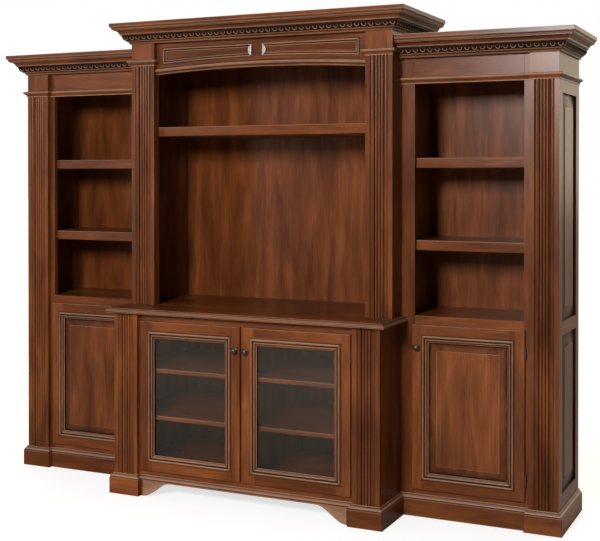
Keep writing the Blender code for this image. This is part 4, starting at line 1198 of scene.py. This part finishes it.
def wear_glaze_and_painted_light(nodes, colour, grain):
    """The colour with wear and painted highlights on arrises, a painted sheen on upward slopes, a painted
    highlight on the crescents, and dark glaze with painted shade; and how much shine is left.
    """
    glaze_and_painted_light = nodes.add("ShaderNodeAttribute", attribute_name="glaze_and_painted_light").outputs["Fac"]
    worn = nodes.streaky(grain, 25.0, 60.0, 2.0)
    # Rubbed arrises: worn finish and painted highlight
    colour = nodes.mix(nodes.times(glaze_and_painted_light, nodes.minus(-0.2, worn), True), colour, WORN_AND_HIGHLIGHT_COLOUR)
    # Painted sheen on upward-facing slopes
    painted_sheen = nodes.grey_ramp(nodes.upwardness("Normal"), PAINTED_SHEEN_STOPS)
    colour = nodes.mix(painted_sheen, colour, PAINTED_SHEEN_COLOUR)
    # Painted highlight on the crescents
    painted_highlight_mask = nodes.minus(nodes.times(glaze_and_painted_light, -1.0), 1.0, True)
    colour = nodes.mix(painted_highlight_mask, colour, PAINTED_HIGHLIGHT_COLOUR)
    # Glaze darkens the hollows and paints the shade that falls in them
    held = nodes.times(glaze_and_painted_light, nodes.plus(0.55, worn), True)
    return nodes.mix(held, colour, GLAZE_AND_SHADE_COLOUR), nodes.minus(1.0, nodes.times(held, 0.85))


def carcase_grain(nodes):
    """The grain's directions on carcase parts: along X on level faces, and along Z on upright ones."""
    level = nodes.place()
    x, y, z = nodes.add("ShaderNodeSeparateXYZ", {0: level}).outputs
    upright = nodes.add("ShaderNodeCombineXYZ", {0: z, 1: nodes.plus(x, y), 2: nodes.minus(x, y)})
    flat = nodes.maths("GREATER_THAN", nodes.maths("ABSOLUTE", nodes.upwardness("True Normal")), 0.5)
    inputs = {0: flat, 4: upright.outputs[0], 5: level}
    return nodes.add("ShaderNodeMix", inputs, data_type="VECTOR").outputs[1]


def bronze_material():
    """Dark bronze in browner and paler patches."""
    nodes = Nodes(bpy.data.materials.new("antique_bronze_finish"))
    patches = nodes.noise(nodes.place(), 220.0, 3.0, 0.6)
    roughness = nodes.plus(0.34, nodes.times(patches, 0.25))
    bump = nodes.bump(patches, 0.15, 0.0004)
    colour = nodes.ramp(patches, BRONZE_STOPS)
    return nodes.finish(Base_Color=colour, Roughness=roughness, Normal=bump, Metallic=0.9)


def glass_material():
    """Smoked glass: tinted and see-through, its tint a little uneven, with a thin gloss."""
    nodes = Nodes(bpy.data.materials.new("smoked_glass_finish"))
    smudges = nodes.noise(nodes.place(), 5.0, 3.0, 0.5, 0.3)
    colour = nodes.ramp(smudges, GLASS_STOPS)
    clear = nodes.add("ShaderNodeBsdfTransparent", {"Color": colour}).outputs[0]
    gloss = nodes.add("ShaderNodeBsdfGlossy", {"Color": GLASS_GLOSS_COLOUR, "Roughness": 0.03}).outputs[0]
    edge_on = nodes.add("ShaderNodeLayerWeight", {"Blend": 0.5}).outputs["Facing"]
    share = nodes.plus(nodes.times(nodes.maths("POWER", edge_on, 5.0), 0.9), 0.035)
    mixed = nodes.add("ShaderNodeMixShader", {0: share, 1: clear, 2: gloss}).outputs[0]
    nodes.put(nodes.tree.nodes["Material Output"].inputs["Surface"], mixed)
    nodes.tree.nodes.remove(nodes.shader)
    return nodes.owner


def floor_material():
    """A pale floor that keeps the object's shadow, and shows white to the camera away from it."""
    nodes = Nodes(bpy.data.materials.new("pale_floor"))
    place = nodes.place()
    colour = nodes.grey_ramp(nodes.noise(place, 3.0), FLOOR_STOPS)
    seen = nodes.add("ShaderNodeLightPath").outputs["Is Camera Ray"]
    distance = nodes.add("ShaderNodeVectorMath", {0: place}, operation="LENGTH").outputs["Value"]
    strength = nodes.times(seen, nodes.fade(distance, FLOOR_FADE))
    nodes.finish(Base_Color=colour, Roughness=0.7, Emission_Color=(*WHITE, 1.0))
    return nodes.finish(Emission_Strength=strength)


def dress_cad_nodes():
    """The carcase, glass and hinge leaves keep their CAD meshes and take better materials."""
    looks = {"case": CARCASE, "glass": GLASS, "leaf": BRONZE}
    for name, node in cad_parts.items():
        look = looks.get(name.split("_")[-1])
        for slot in node.material_slots if look else ():
            slot.material = look


# Studio: the softboxes' places, targets, sizes and powers, and what the world gives from front to back
SOFTBOXES = {
    "key_softbox": ((0.55, -5.1, 2.7), (0, 0, 1.1), (1.0, 1.0), 310),
    "fill_softbox": ((-4.0, -5.0, 1.9), (0, 0, 1.0), (2.4, 2.4), 45),
    "left_strip": ((-4.8, -1.6, 1.5), (0, 0, 1.2), (0.7, 2.4), 8),
}
WORLD_SPREAD = {"From Min": -0.20, "From Max": 0.6, "To Min": 0.01, "To Max": 1.6}
WORLD_COLOUR = (1.0, 0.86, 0.66)
FLOOR_RADIUS = 60


def build_floor():
    shape = bmesh.new()
    bmesh.ops.create_circle(shape, cap_ends=True, segments=64, radius=FLOOR_RADIUS)
    mesh = bpy.data.meshes.new("floor")
    shape.to_mesh(mesh)
    shape.free()
    mesh.materials.append(floor_material())
    floor = put_in_scene("floor", mesh)
    floor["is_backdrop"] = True


def build_world():
    """White where the camera looks and behind the object, and dimmer in front of it."""
    world = bpy.data.worlds.new("studio")
    bpy.context.scene.world = world
    nodes = Nodes(world, "Background")
    seen = nodes.add("ShaderNodeLightPath").outputs["Is Camera Ray"]
    way = nodes.add("ShaderNodeTexCoord").outputs["Generated"]
    back = nodes.add("ShaderNodeSeparateXYZ", {0: way}).outputs["Y"]
    given = nodes.fade(back, WORLD_SPREAD, interpolation_type="SMOOTHSTEP")
    strength = nodes.add("ShaderNodeMix", {0: seen, 2: given, 3: 1.0}).outputs[0]
    nodes.finish(Strength=strength, Color=nodes.mix(seen, WORLD_COLOUR, WHITE))


def add_softbox(name, place, target, size, power):
    light = bpy.data.lights.new(name, "AREA")
    light.shape = "RECTANGLE"
    light.size, light.size_y = size
    light.energy = power
    lamp = put_in_scene(name, light)
    lamp.location = place
    lamp.rotation_euler = (Vector(target) - Vector(place)).to_track_quat("-Z", "Y").to_euler()


# Camera, in the place that the photograph was taken from
CAMERA_PLACE = (2.2711, -4.5307, 1.4448)
CAMERA_TILT = math.radians(89.5)
CAMERA_TURN = math.radians(25.1198)
CAMERA_LENS_MM = 67.24
CAMERA_SENSOR_MM = 36.0
CAMERA_SHIFT_UP = -0.1456
CAMERA_REACH = 300.0


def build_camera():
    lens = bpy.data.cameras.new("camera")
    lens.lens = CAMERA_LENS_MM
    lens.sensor_width = CAMERA_SENSOR_MM
    lens.shift_y = CAMERA_SHIFT_UP
    lens.clip_end = CAMERA_REACH
    camera = put_in_scene("camera", lens)
    camera.location = CAMERA_PLACE
    camera.rotation_euler = (CAMERA_TILT, 0.0, CAMERA_TURN)
    bpy.context.scene.camera = camera
    bpy.context.scene.view_settings.view_transform = "Standard"


def write_sizes():
    boxes = {"cad": cad_bounds, "visual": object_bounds()}
    {name: [list(corner) for corner in box] for name, box in boxes.items()}


WOOD = wood_material("stained_wood_finish", True)
CARCASE = wood_material("carcase_wood_finish", False)
BRONZE = bronze_material()
GLASS = glass_material()
build_wing("left_wing", -1, 100)
build_wing("right_wing", 1, 300)
build_console(500)
build_hutch(700)
dress_cad_nodes()
build_floor()
build_world()
for box_name, box in SOFTBOXES.items():
    add_softbox(box_name, *box)
build_camera()
write_sizes()
